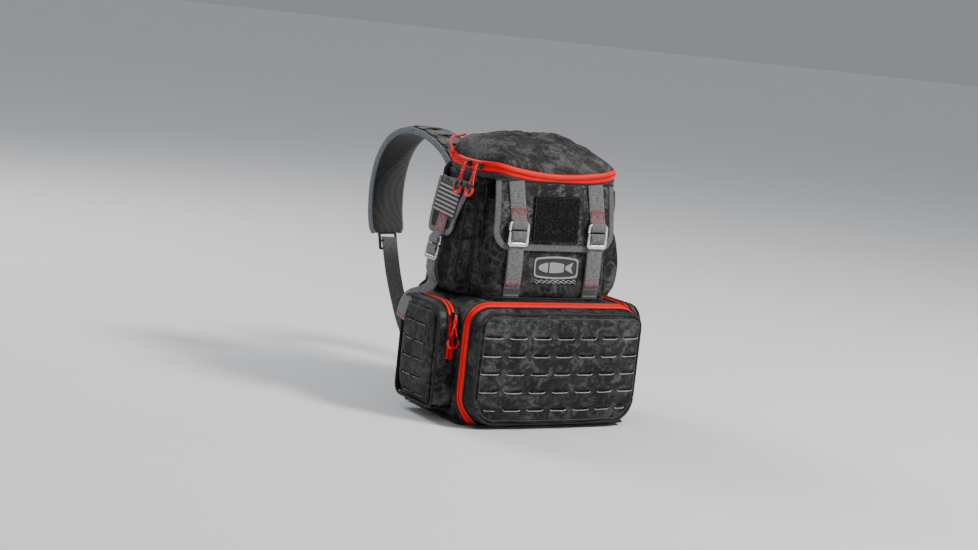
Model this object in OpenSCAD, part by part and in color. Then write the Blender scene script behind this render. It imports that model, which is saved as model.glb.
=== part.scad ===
// Tackle backpack: a lower tray compartment, a narrower upper compartment under a zipped
// lid, laser-cut webbing panels, pouches with buckled flaps, and shoulder straps.
// X is the width, Y runs from the front pocket to the wearer's back, Z is up.
// The origin is the centre of the base's rest face.

/* [Lower compartment] */
// Width of the lower compartment over its side walls
low_w = 276; // [270:1:282]
// Height of the lower compartment
low_h = 172; // [170:1:174]
// How far the front door stands out of its zip
door_d = 34; // [30:1:36]

/* [Upper compartment] */
// Width of the upper compartment over its side walls
up_w = 224; // [220:1:226]
// Height of the zip between the body and the lid
lid_z = 357; // [355:1:359]
// Height of the lid above that zip
lid_h = 50; // [48:1:52]

/* [Side pockets] */
// How far a lower side pocket stands out from the wall
side_out = 33; // [30:1:34]
// Length of a lower side pocket from front to back
side_len = 109; // [100:1:112]

/* [Webbing] */
// Width of every webbing strap
web_w = 25; // [24:0.5:25]
// Thickness of the webbing
web_t = 1.4; // [1.2:0.1:1.4]
// Distance between columns of the cut slots
slot_pitch = 38.1; // [38:0.1:38.1]
// Distance between rows of the cut slots
row_pitch = 25.4; // [25:0.1:25.4]
// Width of a shoulder strap's pad
pad_w = 62; // [58:1:64]

/* [Hidden] */
$fn = 32;

gap = 0.4;                       // clearance between pieces that part
wall = 5;                        // foam-backed fabric wall
skin = 2.5;                      // fabric wall of a pouch, pocket or flap
low_x = low_w / 2;
up_x = up_w / 2;
y_back = 95;                     // wearer's side of the back panel
y_wall = 87;                     // inner side of the back panel
y_zip = -61;                     // plane where the front door parts from the body
y_door = y_zip - door_d;         // face of the front door
door_low = 7;                    // lower edge of the front door's face
zip_w = 6.5;                     // height of each half of the lid's zip
rim_z = lid_z - zip_w;
rim_low = rim_z - 8;
rim_front = -40;                 // front edge of the rim and the lid
pouch_x = 92;
pouch_y = -38;
flap_y = -44.5;                  // outer face of the front flap
flap_top = 337;
flap_low = 246;
strap_x = 66;                    // centre of each front strap
anchor_z = 182;                  // where the front straps are sewn down
hook_z = 281;                    // centre of a front buckle's hook bar
side_y = -37;                    // front of the lower side pockets
side_low = 18;
side_top = 164;
frame_x = low_x + 12;            // plane where a side pocket's door parts
side_x = low_x + side_out;       // outer face of a side pocket
side_hinge = [-up_x - 7, 334];   // hinge line of a side flap, in X and Z
side_tilt = 10;                  // lean of a side flap over its pouch
side_strap_y = 48;
side_hook = 92;                  // hook bar's distance below the side hinge
yoke_x = 62;                     // centre of a shoulder strap where it leaves the back
splay = 13;                      // angle by which the shoulder straps spread

// ---- shared shapes ----

function unit(v) = v / norm(v);
function perp(v) = [-v[1], v[0]];
function leg(p, i) = unit(p[i + 1] - p[i]);
function heading(p, i) =
    i == 0 ? leg(p, 0)
    : i == len(p) - 1 ? leg(p, i - 1)
    : unit(leg(p, i - 1) + leg(p, i));

// A strip of even thickness that follows the points p
module ribbon(p, t) {
    n = len(p);
    one_side = [for (i = [0:n - 1]) p[i] + perp(heading(p, i)) * t / 2];
    other_side = [for (i = [n - 1:-1:0]) p[i] - perp(heading(p, i)) * t / 2];
    polygon(concat(one_side, other_side));
}

// Profiles drawn in (Y, Z) run along X, and those drawn in (X, Z) run along Y
module along_x(w) rotate([90, 0, 90]) linear_extrude(w, center = true) children();
module along_y(y0, y1) translate([0, y1, 0]) rotate([90, 0, 0]) linear_extrude(y1 - y0) children();
module along_z(z0, z1) translate([0, 0, z0]) linear_extrude(z1 - z0) children();
module box(lo, hi) translate(lo) cube(hi - lo);
module right_side() mirror([1, 0, 0]) children();

module rounded(w, h, r) hull()
    for (x = [-1, 1], y = [-1, 1])
        translate([x * (w / 2 - r), y * (h / 2 - r)]) circle(r);

// ---- body ----

module base_panel() color("dimgray") union() {
    box([-low_x, y_zip, 0], [low_x, y_wall, wall]);
    box([-low_x + 12, y_door + 10.5, 2], [low_x - 12, y_zip, wall]);
}

module back_panel() color("dimgray") along_y(y_wall, y_back)
    polygon([[-low_x, 3], [low_x, 3], [low_x, low_h - 10], [low_x - 14, low_h + 6], [up_x, rim_z],
             [up_x - 12, lid_z - 3], [-up_x + 12, lid_z - 3], [-up_x, rim_z], [-low_x + 14, low_h + 6],
             [-low_x, low_h - 10]]);

module back_pad() color("black") along_y(y_back, y_back + 11) translate([-50, 196]) rounded(58, 180, 16);

module lumbar_pad() color("black") along_y(y_back, y_back + 13) translate([0, 58]) rounded(190, 70, 18);

// Outline of the lower compartment seen from the front, with rounded top corners
module low_outline(grow = 0) hull() {
    translate([-low_x - grow, 0]) square([low_w + 2 * grow, 20]);
    for (x = [-1, 1]) translate([x * (low_x - 30), low_h - 30]) circle(30 + grow);
}

module low_band(inner, outer, low) difference() {
    low_outline(outer);
    low_outline(inner);
    translate([-200, -1]) square([400, low + 1]);
}

module lower_wall() color("dimgray") along_y(y_zip, y_wall) intersection() {
    low_band(-wall, 0, wall);
    translate([-200, 0]) square([200 - low_x + 32, 200]);
}

module divider_shelf() color("dimgray")
    box([-low_x + 32, y_zip, low_h - wall], [low_x - 32, y_wall, low_h]);

module upper_wall() color("dimgray") box([-up_x, 0, low_h], [-up_x + 4, y_wall, rim_low]);

module upper_front_wall() color("dimgray") box([-up_x + 4, 0, low_h], [up_x - 4, 4, rim_low]);

// Outline of the lid and of the rim under it, seen from above
module lid_outline(grow = 0) hull() for (x = [-1, 1]) {
    translate([x * (up_x - 8), y_wall - 8]) circle(8 + grow);
    translate([x * (up_x - 36), rim_front + 36]) circle(36 + grow);
}

module top_rim() color("dimgray") along_z(rim_low, rim_z) difference() {
    lid_outline();
    translate([-up_x + 5, 5]) square([up_w - 10, y_wall - 8]);
}

// Zip tape round the left, front and right of the lid
module lid_band(z0, z1) along_z(z0, z1) difference() {
    lid_outline(0.6);
    lid_outline(-1);
    translate([-200, y_wall - 12]) square([400, 40]);
}

module lid_zip_body_tape() color("red") lid_band(rim_z, lid_z - gap / 2);

module front_pouch() color("dimgray") difference() {
    box([-pouch_x, pouch_y, 178], [pouch_x, 0, 312]);
    box([-pouch_x + skin, pouch_y + skin, 180.5], [pouch_x - skin, -skin, 313]);
}

module badge() color("gray") along_y(pouch_y - 1.4, pouch_y) translate([0, 222]) rounded(74, 26, 5);

// ---- front door of the lower compartment ----

// Face and skirt of the door; the floor under it stays with the body
module front_door() color("dimgray") union() {
    along_y(y_door, y_door + 4) hull() {
        for (x = [-1, 1]) {
            translate([x * (low_x - 31), low_h - 30]) circle(29);
            translate([x * (low_x - 19), door_low + 18]) circle(18);
        }
    }
    along_y(y_door + 4, y_zip - gap) low_band(-4, 0, 22);
}

module front_grid_panel() color("dimgray") along_y(y_door - 1.5, y_door) difference() {
    translate([0, 86]) rounded(264, 150, 12);
    for (row = [0:4], column = [-3:3])
        translate([column * slot_pitch, 131.6 - row * row_pitch]) square([25.4, 3.6], center = true);
}

module front_zip_body_tape() color("red") along_y(y_zip, y_zip + 5) low_band(0, 1.2, 24);

module front_zip_door_tape() color("red") along_y(y_zip - 5.4, y_zip - gap) low_band(0, 1.2, 24);

// ---- lid ----

module lid_dome(inset) hull() for (x = [-1, 1]) {
    translate([x * (up_x - 8), y_wall - 8, lid_z + zip_w]) cylinder(h = 0.5, r = 8 - inset);
    translate([x * (up_x - 36), rim_front + 36, lid_z + zip_w]) cylinder(h = 0.5, r = 36 - inset);
    translate([x * (up_x - 42), 42, lid_z + lid_h - 30]) sphere(30 - inset);
    translate([x * (up_x - 44), 2, lid_z + lid_h - 36]) sphere(26 - inset);
}

module lid_shell() color("dimgray") difference() {
    lid_dome(0);
    lid_dome(3);
    box([-200, -200, lid_z - 20], [200, 200, lid_z + zip_w]);
}

module lid_zip_lid_tape() color("red") lid_band(lid_z + gap / 2, lid_z + zip_w);

// ---- front flap, its straps and the hook buckles ----

module flap_outline(inset = 0) hull() {
    translate([-103 + inset, flap_top - 10]) square([206 - 2 * inset, 10]);
    for (x = [-1, 1]) translate([x * 75, flap_low + 28]) circle(28 - inset);
}

module front_flap() color("dimgray") along_y(flap_y, flap_y + skin) flap_outline();

module flap_binding() color("gray") along_y(flap_y - 1, flap_y) difference() {
    flap_outline();
    flap_outline(9);
    translate([-150, flap_top - 12]) square([300, 40]);
    for (x = [-strap_x, strap_x]) translate([x - 20, flap_low - 1]) square([40, 14]);
}

module loop_patch() color("black") along_y(flap_y - 1.6, flap_y) translate([2, 291]) rounded(80, 66, 3);

// Webbing on the flap, turned forward under the hook bar
module flap_straps() color("gray") for (x = [-strap_x, strap_x])
    translate([x, 0, 0]) along_x(web_w)
        ribbon([[flap_y - web_t / 2, flap_top - 1], [flap_y - web_t / 2, hook_z - 4],
                [flap_y - 2.5, hook_z - 5.8], [flap_y - 7.6, hook_z - 5.8]], web_t);

// Hook buckle in (X, Z) with its hook bar at z = 0: two slots, and a mouth on the -X side
module hook_buckle() along_y(-1.25, 1.25) difference() {
    translate([0, -11]) rounded(37, 37, 5);
    translate([-13, -10.2]) square([26, 8]);
    translate([-13, -24.5]) square([26, 9.2]);
    translate([-20, -9]) square([8, 6.6]);
}

// Webbing that rises behind the buckle, wraps its middle bar and comes down as a tail.
// Each point is [distance out of the flap's face, height over the hook bar].
ladder = [[1.9, -26], [1.9, -19], [2.7, -12], [5.2, -8.8], [8, -9.2], [9.2, -11.5], [9.2, -15],
          [7, -19.6], [4.4, -22.6], [4.1, -29], [4.6, -52]];

module front_strap() color("gray") translate([-strap_x, 0, 0]) along_x(web_w - 0.6)
    ribbon(concat([[pouch_y - 1.2, anchor_z], [flap_y - 1.9, anchor_z + 40]],
                  [for (p = ladder) [flap_y - p[0], hook_z + p[1]]]), web_t);

module front_buckle() color("silver") translate([-strap_x, flap_y - 6.8, hook_z]) hook_buckle();

// ---- side pockets, side pouches and side flaps ----
// Each is drawn on the left, and the right one is its mirror image.

// Lower side pocket seen from above; it curves in towards the back
module pocket_plan(inset, root) polygon([
    [root, side_y + inset], [-side_x + 7, side_y + inset], [-side_x + inset, side_y + 7],
    [-side_x + inset, side_y + 52], [-side_x + 2 + inset, side_y + 76],
    [-side_x + 6 + inset, side_y + side_len - 12], [-side_x + 14, side_y + side_len - inset],
    [root, side_y + side_len - inset]
]);

module pocket_frame() color("dimgray") difference() {
    union() {
        box([-frame_x, side_y, side_low], [-low_x, side_y + side_len, side_top]);
        along_z(side_low, side_low + 4) pocket_plan(1, -low_x - 3);
    }
    box([-frame_x - 1, side_y + skin, side_low + 4],
        [-low_x - 1, side_y + side_len - skin, side_top - skin]);
}

module pocket_door() color("dimgray") difference() {
    along_z(side_low + 4.4, side_top) pocket_plan(0, -frame_x - gap);
    along_z(side_low, side_top - skin) pocket_plan(skin, -frame_x + 4);
}

// Half of a side zip, over the top and down the front of the pocket
module side_band(x0, x1) difference() {
    box([x0, side_y - 1.2, 82], [x1, side_y + side_len - 10, side_top + 1.2]);
    box([x0 - 1, side_y, 80], [x1 + 1, side_y + side_len, side_top]);
}

// Webbing grid, zip tape and the loose strap end that lies on the pocket door
module pocket_trim() color("gray") union() {
    translate([-side_x, side_y + 23.5, 0]) rotate([90, 0, -90]) linear_extrude(1.4) difference() {
        translate([0, 88]) rounded(31, 124, 4);
        for (row = [0:4]) translate([0, 134 - row * row_pitch]) square([22, 3.6], center = true);
    }
    side_band(-frame_x - 4.5, -frame_x - gap);
}

module side_zip_body_tapes() color("red") {
    side_band(-frame_x, -frame_x + 4.1);
    right_side() side_band(-frame_x, -frame_x + 4.1);
}

module side_pouch() color("dimgray") difference() {
    along_y(3, y_wall - 3) polygon([[-up_x, 178], [-up_x - 22, 178], [-up_x - 10, 300], [-up_x, 300]]);
    along_y(3 + skin, y_wall - 3 - skin)
        polygon([[-up_x - 1.5, 181], [-up_x - 19, 181], [-up_x - 7.3, 301], [-up_x - 1.5, 301]]);
}

// Local frame of a side flap: X = 0 is its outer face and it hangs down from Z = 0
module side_frame() translate([side_hinge[0], 0, side_hinge[1]]) rotate([0, side_tilt, 0]) children();

module side_flap() color("dimgray") side_frame() rotate([90, 0, 90]) linear_extrude(skin) hull() {
    translate([4, -14]) square([83, 12]);
    for (y = [30, 66]) translate([y, -64]) circle(18);
}

// Striped patch and the webbing whose fold passes round the front of the hook bar
module side_flap_trim() color("gray") side_frame() union() {
    box([-1.3, 20, -56], [0, 76, -22]);
    along_y(side_strap_y - web_w / 2, side_strap_y + web_w / 2)
        ribbon([[-web_t / 2, -58], [-web_t / 2, -72], [-9.4, -side_hook + 9.5], [-9.6, -side_hook + 4],
                [-9.6, -side_hook - 4], [-7.6, -side_hook - 5.6], [-3.2, -side_hook - 5.6]], web_t);
}

module side_buckle() color("silver") side_frame()
    translate([-6.8, side_strap_y, -side_hook]) rotate([0, 0, -90]) hook_buckle();

module side_strap() color("gray") side_frame()
    along_y(side_strap_y - web_w / 2 + 0.3, side_strap_y + web_w / 2 - 0.3)
        ribbon(concat([[10.6, -side_hook - 58], [-1.9, -side_hook - 36]],
                      [for (p = ladder) [-p[0], -side_hook + p[1]]]), web_t);

// ---- carrying ----

// Webbing loop with a rolled grip, standing out of the top of the back panel
module haul_handle() color("gray") translate([0, y_back + 1.8, 320]) rotate([-46, 0, 0]) union() {
    for (x = [-17, 17]) translate([x, 0, 16]) cube([18, 2.4, 32], center = true);
    translate([-28, 0, 34]) rotate([0, 90, 0]) cylinder(h = 56, r = 6);
}

// Shoulder strap as worn, from the yoke over the shoulder and down, in (Y, Z)
pad_path = [[107, 318], [115, 338], [130, 357], [160, 374], [198, 383], [232, 378], [258, 360],
            [275, 330], [282, 292], [280, 252], [272, 220]];
lower_path = [[260, 208], [230, 158], [182, 106], [140, 76], [97.8, 56]];

module strap_frame() translate([-yoke_x, y_back, 0]) rotate([0, 0, splay]) translate([0, -y_back, 0]) children();

module shoulder_pad() color("black") strap_frame() along_x(pad_w) ribbon(pad_path, 9);

module shoulder_webbing() color("gray")
    translate([-116, y_back, 0]) rotate([0, 0, -5.4]) translate([0, -y_back, 0])
        along_x(web_w) ribbon(lower_path, 1.6);

// ---- zip sliders and pulls ----

// Slider lying on a zip along local Z and standing out along -Y, with a lug for its pull
module slider() color("black") union() {
    translate([-4.5, -3.9, -6]) cube([9, 3.6, 12]);
    translate([-1.2, -6.2, -5]) cube([2.4, 2.3, 10]);
}

// Cord pull that hangs from the lug and opens to a loop with a moulded end
module pull() color("red") translate([0, -7.8, 0]) along_y(-1.2, 1.2) difference() {
    polygon([[-3, -2], [3, -2], [3.4, -17], [8.5, -33], [8, -39], [4, -44], [-4, -44], [-8, -39],
             [-8.5, -33], [-3.4, -17]]);
    polygon([[0, -19], [5, -33.5], [4.6, -37.5], [2.4, -40], [-2.4, -40], [-4.6, -37.5], [-5, -33.5]]);
}

module at_front_zip() translate([low_x + 1.2, y_zip, 98]) rotate([0, 0, 90]) children();
module at_side_zip() translate([-frame_x, side_y - 1.2, 150]) children();
module at_lid_zip(y) translate([-up_x - 0.6, y, lid_z]) rotate([0, 0, -90]) children();

// A lid slider lies across, so its pull hangs from the lug at an angle over the side flap
module lid_slider(y) at_lid_zip(y) rotate([0, 90, 0]) slider();
module lid_pull(y) at_lid_zip(y) translate([0, -7.8, 0]) rotate([-13, 0, 0]) translate([0, 7.8, 0]) pull();

// ---- the model ----

base_panel();
back_panel();
back_pad();  // left_back_pad
right_side() back_pad();  // right_back_pad
lumbar_pad();
lower_wall();  // left_lower_wall
right_side() lower_wall();  // right_lower_wall
divider_shelf();
upper_wall();  // left_upper_wall
right_side() upper_wall();  // right_upper_wall
upper_front_wall();
top_rim();
front_pouch();
badge();
lid_zip_body_tape();
front_zip_body_tape();
pocket_frame();  // left_pocket_frame
right_side() pocket_frame();  // right_pocket_frame
side_zip_body_tapes();
side_pouch();  // left_side_pouch
right_side() side_pouch();  // right_side_pouch
shoulder_webbing();  // left_shoulder_webbing
right_side() shoulder_webbing();  // right_shoulder_webbing
front_door();
front_grid_panel();
front_zip_door_tape();
lid_shell();
lid_zip_lid_tape();
front_flap();
flap_binding();
loop_patch();
flap_straps();
front_buckle();  // left_buckle
front_strap();  // left_front_strap
translate([2 * strap_x, 0, 0]) front_buckle();  // right_buckle
translate([2 * strap_x, 0, 0]) front_strap();  // right_front_strap
pocket_door();  // left_pocket_door
pocket_trim();  // left_pocket_trim
right_side() pocket_door();  // right_pocket_door
right_side() pocket_trim();  // right_pocket_trim
side_flap();  // left_flap
side_flap_trim();  // left_flap_trim
right_side() side_flap();  // right_flap
right_side() side_flap_trim();  // right_flap_trim
side_buckle();  // left_side_buckle
side_strap();  // left_side_strap
right_side() side_buckle();  // right_side_buckle
right_side() side_strap();  // right_side_strap
haul_handle();
shoulder_pad();  // left_shoulder_pad
right_side() shoulder_pad();  // right_shoulder_pad
at_front_zip() slider();  // front_slider
at_side_zip() slider();  // left_slider
right_side() at_side_zip() slider();  // right_slider
lid_slider(22);  // rear_lid_slider
lid_slider(-9);  // front_lid_slider
at_front_zip() pull();  // front_pull
at_side_zip() pull();  // left_pull
right_side() at_side_zip() pull();  // right_pull
lid_pull(22);  // rear_lid_pull
lid_pull(-9);  // front_lid_pull
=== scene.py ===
import math

import bmesh
import bpy
import numpy as np
from mathutils import Matrix, Vector, noise


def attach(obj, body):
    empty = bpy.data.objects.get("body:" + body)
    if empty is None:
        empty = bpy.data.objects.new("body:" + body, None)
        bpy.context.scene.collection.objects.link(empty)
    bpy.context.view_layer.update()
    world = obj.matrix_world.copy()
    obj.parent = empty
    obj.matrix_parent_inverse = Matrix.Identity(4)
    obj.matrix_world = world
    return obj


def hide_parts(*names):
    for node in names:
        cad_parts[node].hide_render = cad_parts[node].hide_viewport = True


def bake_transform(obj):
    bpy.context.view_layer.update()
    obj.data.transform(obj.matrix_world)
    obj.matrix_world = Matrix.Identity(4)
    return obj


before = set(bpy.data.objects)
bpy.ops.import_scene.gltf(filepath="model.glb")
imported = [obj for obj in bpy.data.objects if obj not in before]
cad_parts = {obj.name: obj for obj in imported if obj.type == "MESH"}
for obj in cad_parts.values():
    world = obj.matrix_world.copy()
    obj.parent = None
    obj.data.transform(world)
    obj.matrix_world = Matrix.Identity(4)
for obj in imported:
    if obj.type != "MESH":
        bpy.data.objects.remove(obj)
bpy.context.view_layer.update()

MM = 0.001
SIDES = ((-1, "left"), (1, "right"))

# ---------------------------------------------------------------- materials


class Nodes:
    """Short-hand for a material's node tree."""

    def __init__(self, name, roughness=0.8, metallic=0.0, sheen=0.0, coat=0.0, specular=0.5):
        self.mat = bpy.data.materials.new(name)
        self.mat.use_nodes = True
        self.tree = self.mat.node_tree
        self.shader = self.tree.nodes["Principled BSDF"]
        self.shader.inputs["Roughness"].default_value = roughness
        self.shader.inputs["Metallic"].default_value = metallic
        self.shader.inputs["Sheen Weight"].default_value = sheen
        self.shader.inputs["Coat Weight"].default_value = coat
        self.shader.inputs["Specular IOR Level"].default_value = specular
        self.coord = self.add("ShaderNodeTexCoord")

    def add(self, kind, values=None, links=None, **props):
        node = self.tree.nodes.new(kind)
        for key, value in props.items():
            setattr(node, key, value)
        for key, value in (values or {}).items():
            node.inputs[key].default_value = value
        for key, socket in (links or {}).items():
            self.link(socket, node.inputs[key])
        return node

    def link(self, a, b):
        self.tree.links.new(a, b)

    def space(self, scale=(1, 1, 1), uv=False, turn=(0, 0, 0)):
        node = self.add("ShaderNodeMapping", {"Scale": scale, "Rotation": turn})
        self.link(self.coord.outputs["UV" if uv else "Object"], node.inputs["Vector"])
        return node.outputs["Vector"]

    def noise(self, scale, detail=3, vector=None, rough=0.55, distortion=0.0):
        node = self.add("ShaderNodeTexNoise",
                        {"Scale": scale, "Detail": detail, "Roughness": rough, "Distortion": distortion})
        self.link(vector or self.space(), node.inputs["Vector"])
        return node.outputs["Fac"]

    def wave(self, scale, vector, direction="X"):
        node = self.add("ShaderNodeTexWave", {"Scale": scale}, bands_direction=direction,
                        wave_profile="SIN")
        self.link(vector, node.inputs["Vector"])
        return node.outputs["Fac"]

    def ramp(self, fac, stops):
        node = self.add("ShaderNodeValToRGB", links={"Fac": fac})
        ramp = node.color_ramp
        while len(ramp.elements) < len(stops):
            ramp.elements.new(0.5)
        for element, (at, colour) in zip(ramp.elements, stops):
            element.position = at
            element.color = (*colour, 1) if len(colour) == 3 else colour
        return node.outputs["Color"]

    def math(self, kind, a, b):
        node = self.add("ShaderNodeMath", operation=kind)
        for i, value in enumerate((a, b)):
            if isinstance(value, (int, float)):
                node.inputs[i].default_value = value
            else:
                self.link(value, node.inputs[i])
        return node.outputs[0]

    def mix(self, fac, a, b, kind="MIX"):
        node = self.add("ShaderNodeMix", data_type="RGBA", blend_type=kind)
        for key, value in ((0, fac), (6, a), (7, b)):
            if isinstance(value, (int, float)):
                node.inputs[key].default_value = value
            elif isinstance(value, tuple):
                node.inputs[key].default_value = (*value, 1)
            else:
                self.link(value, node.inputs[key])
        return node.outputs[2]

    def colour(self, value):
        self.link(value, self.shader.inputs["Base Color"])

    def rough(self, fac, low, high):
        node = self.add("ShaderNodeMapRange", {"To Min": low, "To Max": high}, {"Value": fac})
        self.link(node.outputs["Result"], self.shader.inputs["Roughness"])

    def bump(self, height, strength=0.3, distance=0.0004):
        node = self.add("ShaderNodeBump", {"Strength": strength, "Distance": distance}, {"Height": height})
        if self.shader.inputs["Normal"].is_linked:
            self.link(self.shader.inputs["Normal"].links[0].from_socket, node.inputs["Normal"])
        self.link(node.outputs["Normal"], self.shader.inputs["Normal"])


def grey(v, warm=0.0):
    """A grey, slightly warmer or cooler."""
    return (v * (1 + warm), v, v * (1 - warm))


def mottled_fabric(name, bright=1.0, seed=0.0):
    """Coated nylon in a generic cloud of dark greys, with a plain weave."""
    n = Nodes(name, roughness=0.62, sheen=0.02, specular=0.27)
    place = n.add("ShaderNodeMapping", {"Location": (seed, seed * 0.7, seed * 0.3)})
    n.link(n.coord.outputs["Object"], place.inputs["Vector"])
    spot = place.outputs["Vector"]
    cloud = n.noise(15, 5, spot, 0.66, 1.1)
    base = n.ramp(cloud, [(0.34, grey(0.003 * bright)), (0.45, grey(0.013 * bright)),
                          (0.55, grey(0.046 * bright)), (0.68, grey(0.19 * bright))])
    mask = n.ramp(n.noise(40, 6, spot, 0.72, 1.8), [(0.50, (0, 0, 0)), (0.60, (1, 1, 1))])
    base = n.mix(n.math("MULTIPLY", mask, 0.62), base, grey(0.20 * bright))
    dark = n.ramp(n.noise(26, 5, n.space((1, 1, 1.7), turn=(0.4, 0.3, 0.9)), 0.7, 2.2),
                  [(0.48, (0, 0, 0)), (0.58, (1, 1, 1))])
    base = n.mix(n.math("MULTIPLY", dark, 0.85), base, grey(0.004 * bright))
    cell = n.add("ShaderNodeTexVoronoi", {"Scale": 95.0, "Randomness": 0.8}, feature="DISTANCE_TO_EDGE")
    n.link(spot, cell.inputs["Vector"])
    line = n.ramp(cell.outputs["Distance"], [(0.03, (1, 1, 1)), (0.12, (0, 0, 0))])
    where = n.ramp(n.noise(11, 3, n.space((1, 1, 1), turn=(0.9, 0.2, 0.4)), 0.6),
                   [(0.50, (0, 0, 0)), (0.64, (1, 1, 1))])
    base = n.mix(n.math("MULTIPLY", n.math("MULTIPLY", line, where), 0.40), base, grey(0.24 * bright))
    base = n.mix(0.35, base, n.ramp(n.noise(900, 2), [(0.3, grey(0.35)), (0.7, grey(1.0))]), "MULTIPLY")
    n.colour(base)
    warp = n.wave(330, n.space(), "X")
    weft = n.wave(330, n.space(), "Z")
    depth = n.wave(330, n.space(), "Y")
    n.bump(n.math("ADD", n.math("ADD", warp, weft), depth), 0.35, 0.00025)
    n.bump(n.noise(19, 3), 0.5, 0.007)
    n.bump(n.noise(55, 4), 0.5, 0.0026)
    n.bump(n.noise(160, 4), 0.3, 0.0009)
    n.rough(cloud, 0.50, 0.74)
    return n.mat


def plain_fabric(name, value, warm=0.0, weave=420, sheen=0.1):
    """Plain woven cloth of one grey."""
    n = Nodes(name, roughness=0.8, sheen=sheen, specular=0.3)
    n.colour(n.ramp(n.noise(260, 4), [(0.3, grey(value * 0.7, warm)), (0.7, grey(value * 1.35, warm))]))
    n.bump(n.math("ADD", n.wave(weave, n.space(), "X"), n.wave(weave, n.space(), "Z")), 0.35, 0.00025)
    return n.mat


def webbing(name, value, contrast=0.5, warm=0.0):
    """Heathered webbing: ribs across the strap, set out along its UV."""
    n = Nodes(name, roughness=0.72, sheen=0.25, specular=0.35)
    along = n.noise(5, 4, n.space((2.6, 0.9, 1), uv=True), 0.75)
    fine = n.noise(14, 3, n.space((3, 1, 1), uv=True), 0.6)
    base = n.ramp(along, [(0.3, grey(value * (1 - contrast), warm)),
                          (0.72, grey(value * (1 + contrast), warm))])
    base = n.mix(0.5, base, n.ramp(fine, [(0.3, grey(0.45)), (0.7, grey(1.25))]), "MULTIPLY")
    n.colour(base)
    rib = n.wave(22, n.space(uv=True), "X")
    cross = n.wave(14, n.space(uv=True), "Y")
    n.bump(n.math("ADD", rib, n.math("MULTIPLY", cross, 0.4)), 0.7, 0.0004)
    return n.mat


def coated_tape(name, colour, dark):
    """Smooth water-resistant zip tape."""
    n = Nodes(name, roughness=0.5, specular=0.12)
    n.colour(n.mix(n.noise(90, 4), colour, dark))
    n.bump(n.noise(700, 3), 0.2, 0.0002)
    n.rough(n.noise(140, 3), 0.34, 0.52)
    return n.mat


def thread(name, colour, dark):
    """Twisted sewing thread."""
    n = Nodes(name, roughness=0.6, sheen=0.2)
    n.colour(n.mix(n.noise(1500, 2), colour, dark))
    n.bump(n.wave(900, n.space(turn=(0.6, 0.6, 0.6)), "X"), 0.4, 0.0002)
    return n.mat


def cord_sheath(name, colour, dark):
    """Braided cord cover."""
    n = Nodes(name, roughness=0.45, sheen=0.1, specular=0.5)
    plait = n.math("ADD", n.wave(260, n.space(turn=(0.8, 0.8, 0)), "X"),
                   n.wave(260, n.space(turn=(-0.8, 0.8, 0)), "Z"))
    n.colour(n.mix(n.math("MULTIPLY", plait, 0.35), colour, dark))
    n.bump(plait, 0.5, 0.0003)
    return n.mat


def satin_metal(name, value, roughness):
    """Blasted and anodised metal."""
    n = Nodes(name, roughness=roughness, metallic=1.0)
    n.colour(n.ramp(n.noise(300, 4), [(0.3, grey(value * 0.86)), (0.7, grey(value))]))
    n.rough(n.noise(500, 3, n.space((1, 1, 0.2))), roughness * 0.8, roughness * 1.3)
    n.bump(n.noise(1800, 2), 0.12, 0.0001)
    return n.mat


def moulded(name, colour, roughness=0.4):
    """Moulded plastic or rubber."""
    n = Nodes(name, roughness=roughness, specular=0.5)
    n.colour(n.mix(n.math("MULTIPLY", n.noise(200, 3), 0.35), colour, tuple(c * 0.5 for c in colour)))
    n.bump(n.noise(1300, 3), 0.2, 0.00015)
    return n.mat


def loop_pile():
    """The fuzzy half of a hook-and-loop patch."""
    n = Nodes("loop_pile", roughness=0.95, specular=0.15)
    cell = n.add("ShaderNodeTexVoronoi", {"Scale": 620.0, "Randomness": 1.0})
    n.link(n.space(), cell.inputs["Vector"])
    near = cell.outputs["Distance"]
    n.colour(n.ramp(n.noise(800, 4), [(0.42, grey(0.0015)), (0.56, grey(0.010)), (0.68, grey(0.075))]))
    n.bump(near, 1.0, 0.0012)
    n.bump(n.noise(900, 3), 0.9, 0.0010)
    return n.mat


def spacer_mesh():
    """Air mesh with a cell pattern."""
    n = Nodes("spacer_mesh", roughness=0.85, sheen=0.15, specular=0.3)
    cell = n.add("ShaderNodeTexVoronoi", {"Scale": 330.0, "Randomness": 0.12})
    n.link(n.space(), cell.inputs["Vector"])
    near = cell.outputs["Distance"]
    n.colour(n.ramp(near, [(0.15, grey(0.004)), (0.42, grey(0.030)), (0.6, grey(0.045))]))
    n.bump(near, 0.9, 0.0011)
    return n.mat


FABRIC = mottled_fabric("mottled_nylon", 0.56)
# painted light: the same nylon made brighter, as a lit copy for the flaps and the front welts
FABRIC_PAINTED_LIT = mottled_fabric("mottled_nylon_lit", 0.98, 3.1)
LAMINATE = mottled_fabric("cut_laminate", 0.55, 7.7)
# painted shade: the same laminate made darker for the side pockets, which stand in shade
LAMINATE_PAINTED_SHADE = mottled_fabric("cut_laminate_painted_shade", 0.34, 7.7)
RIM = plain_fabric("slate_rim", 0.034, -0.10)
LINING = plain_fabric("black_lining", 0.012)
BAND = plain_fabric("slate_band", 0.017, -0.06)
CUT_EDGE = plain_fabric("cut_edge", 0.66, 0.0, 700)
WEB = webbing("heathered_webbing", 0.19, 0.8)
WEB_ROW = webbing("row_webbing", 0.11, 0.7)
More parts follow.
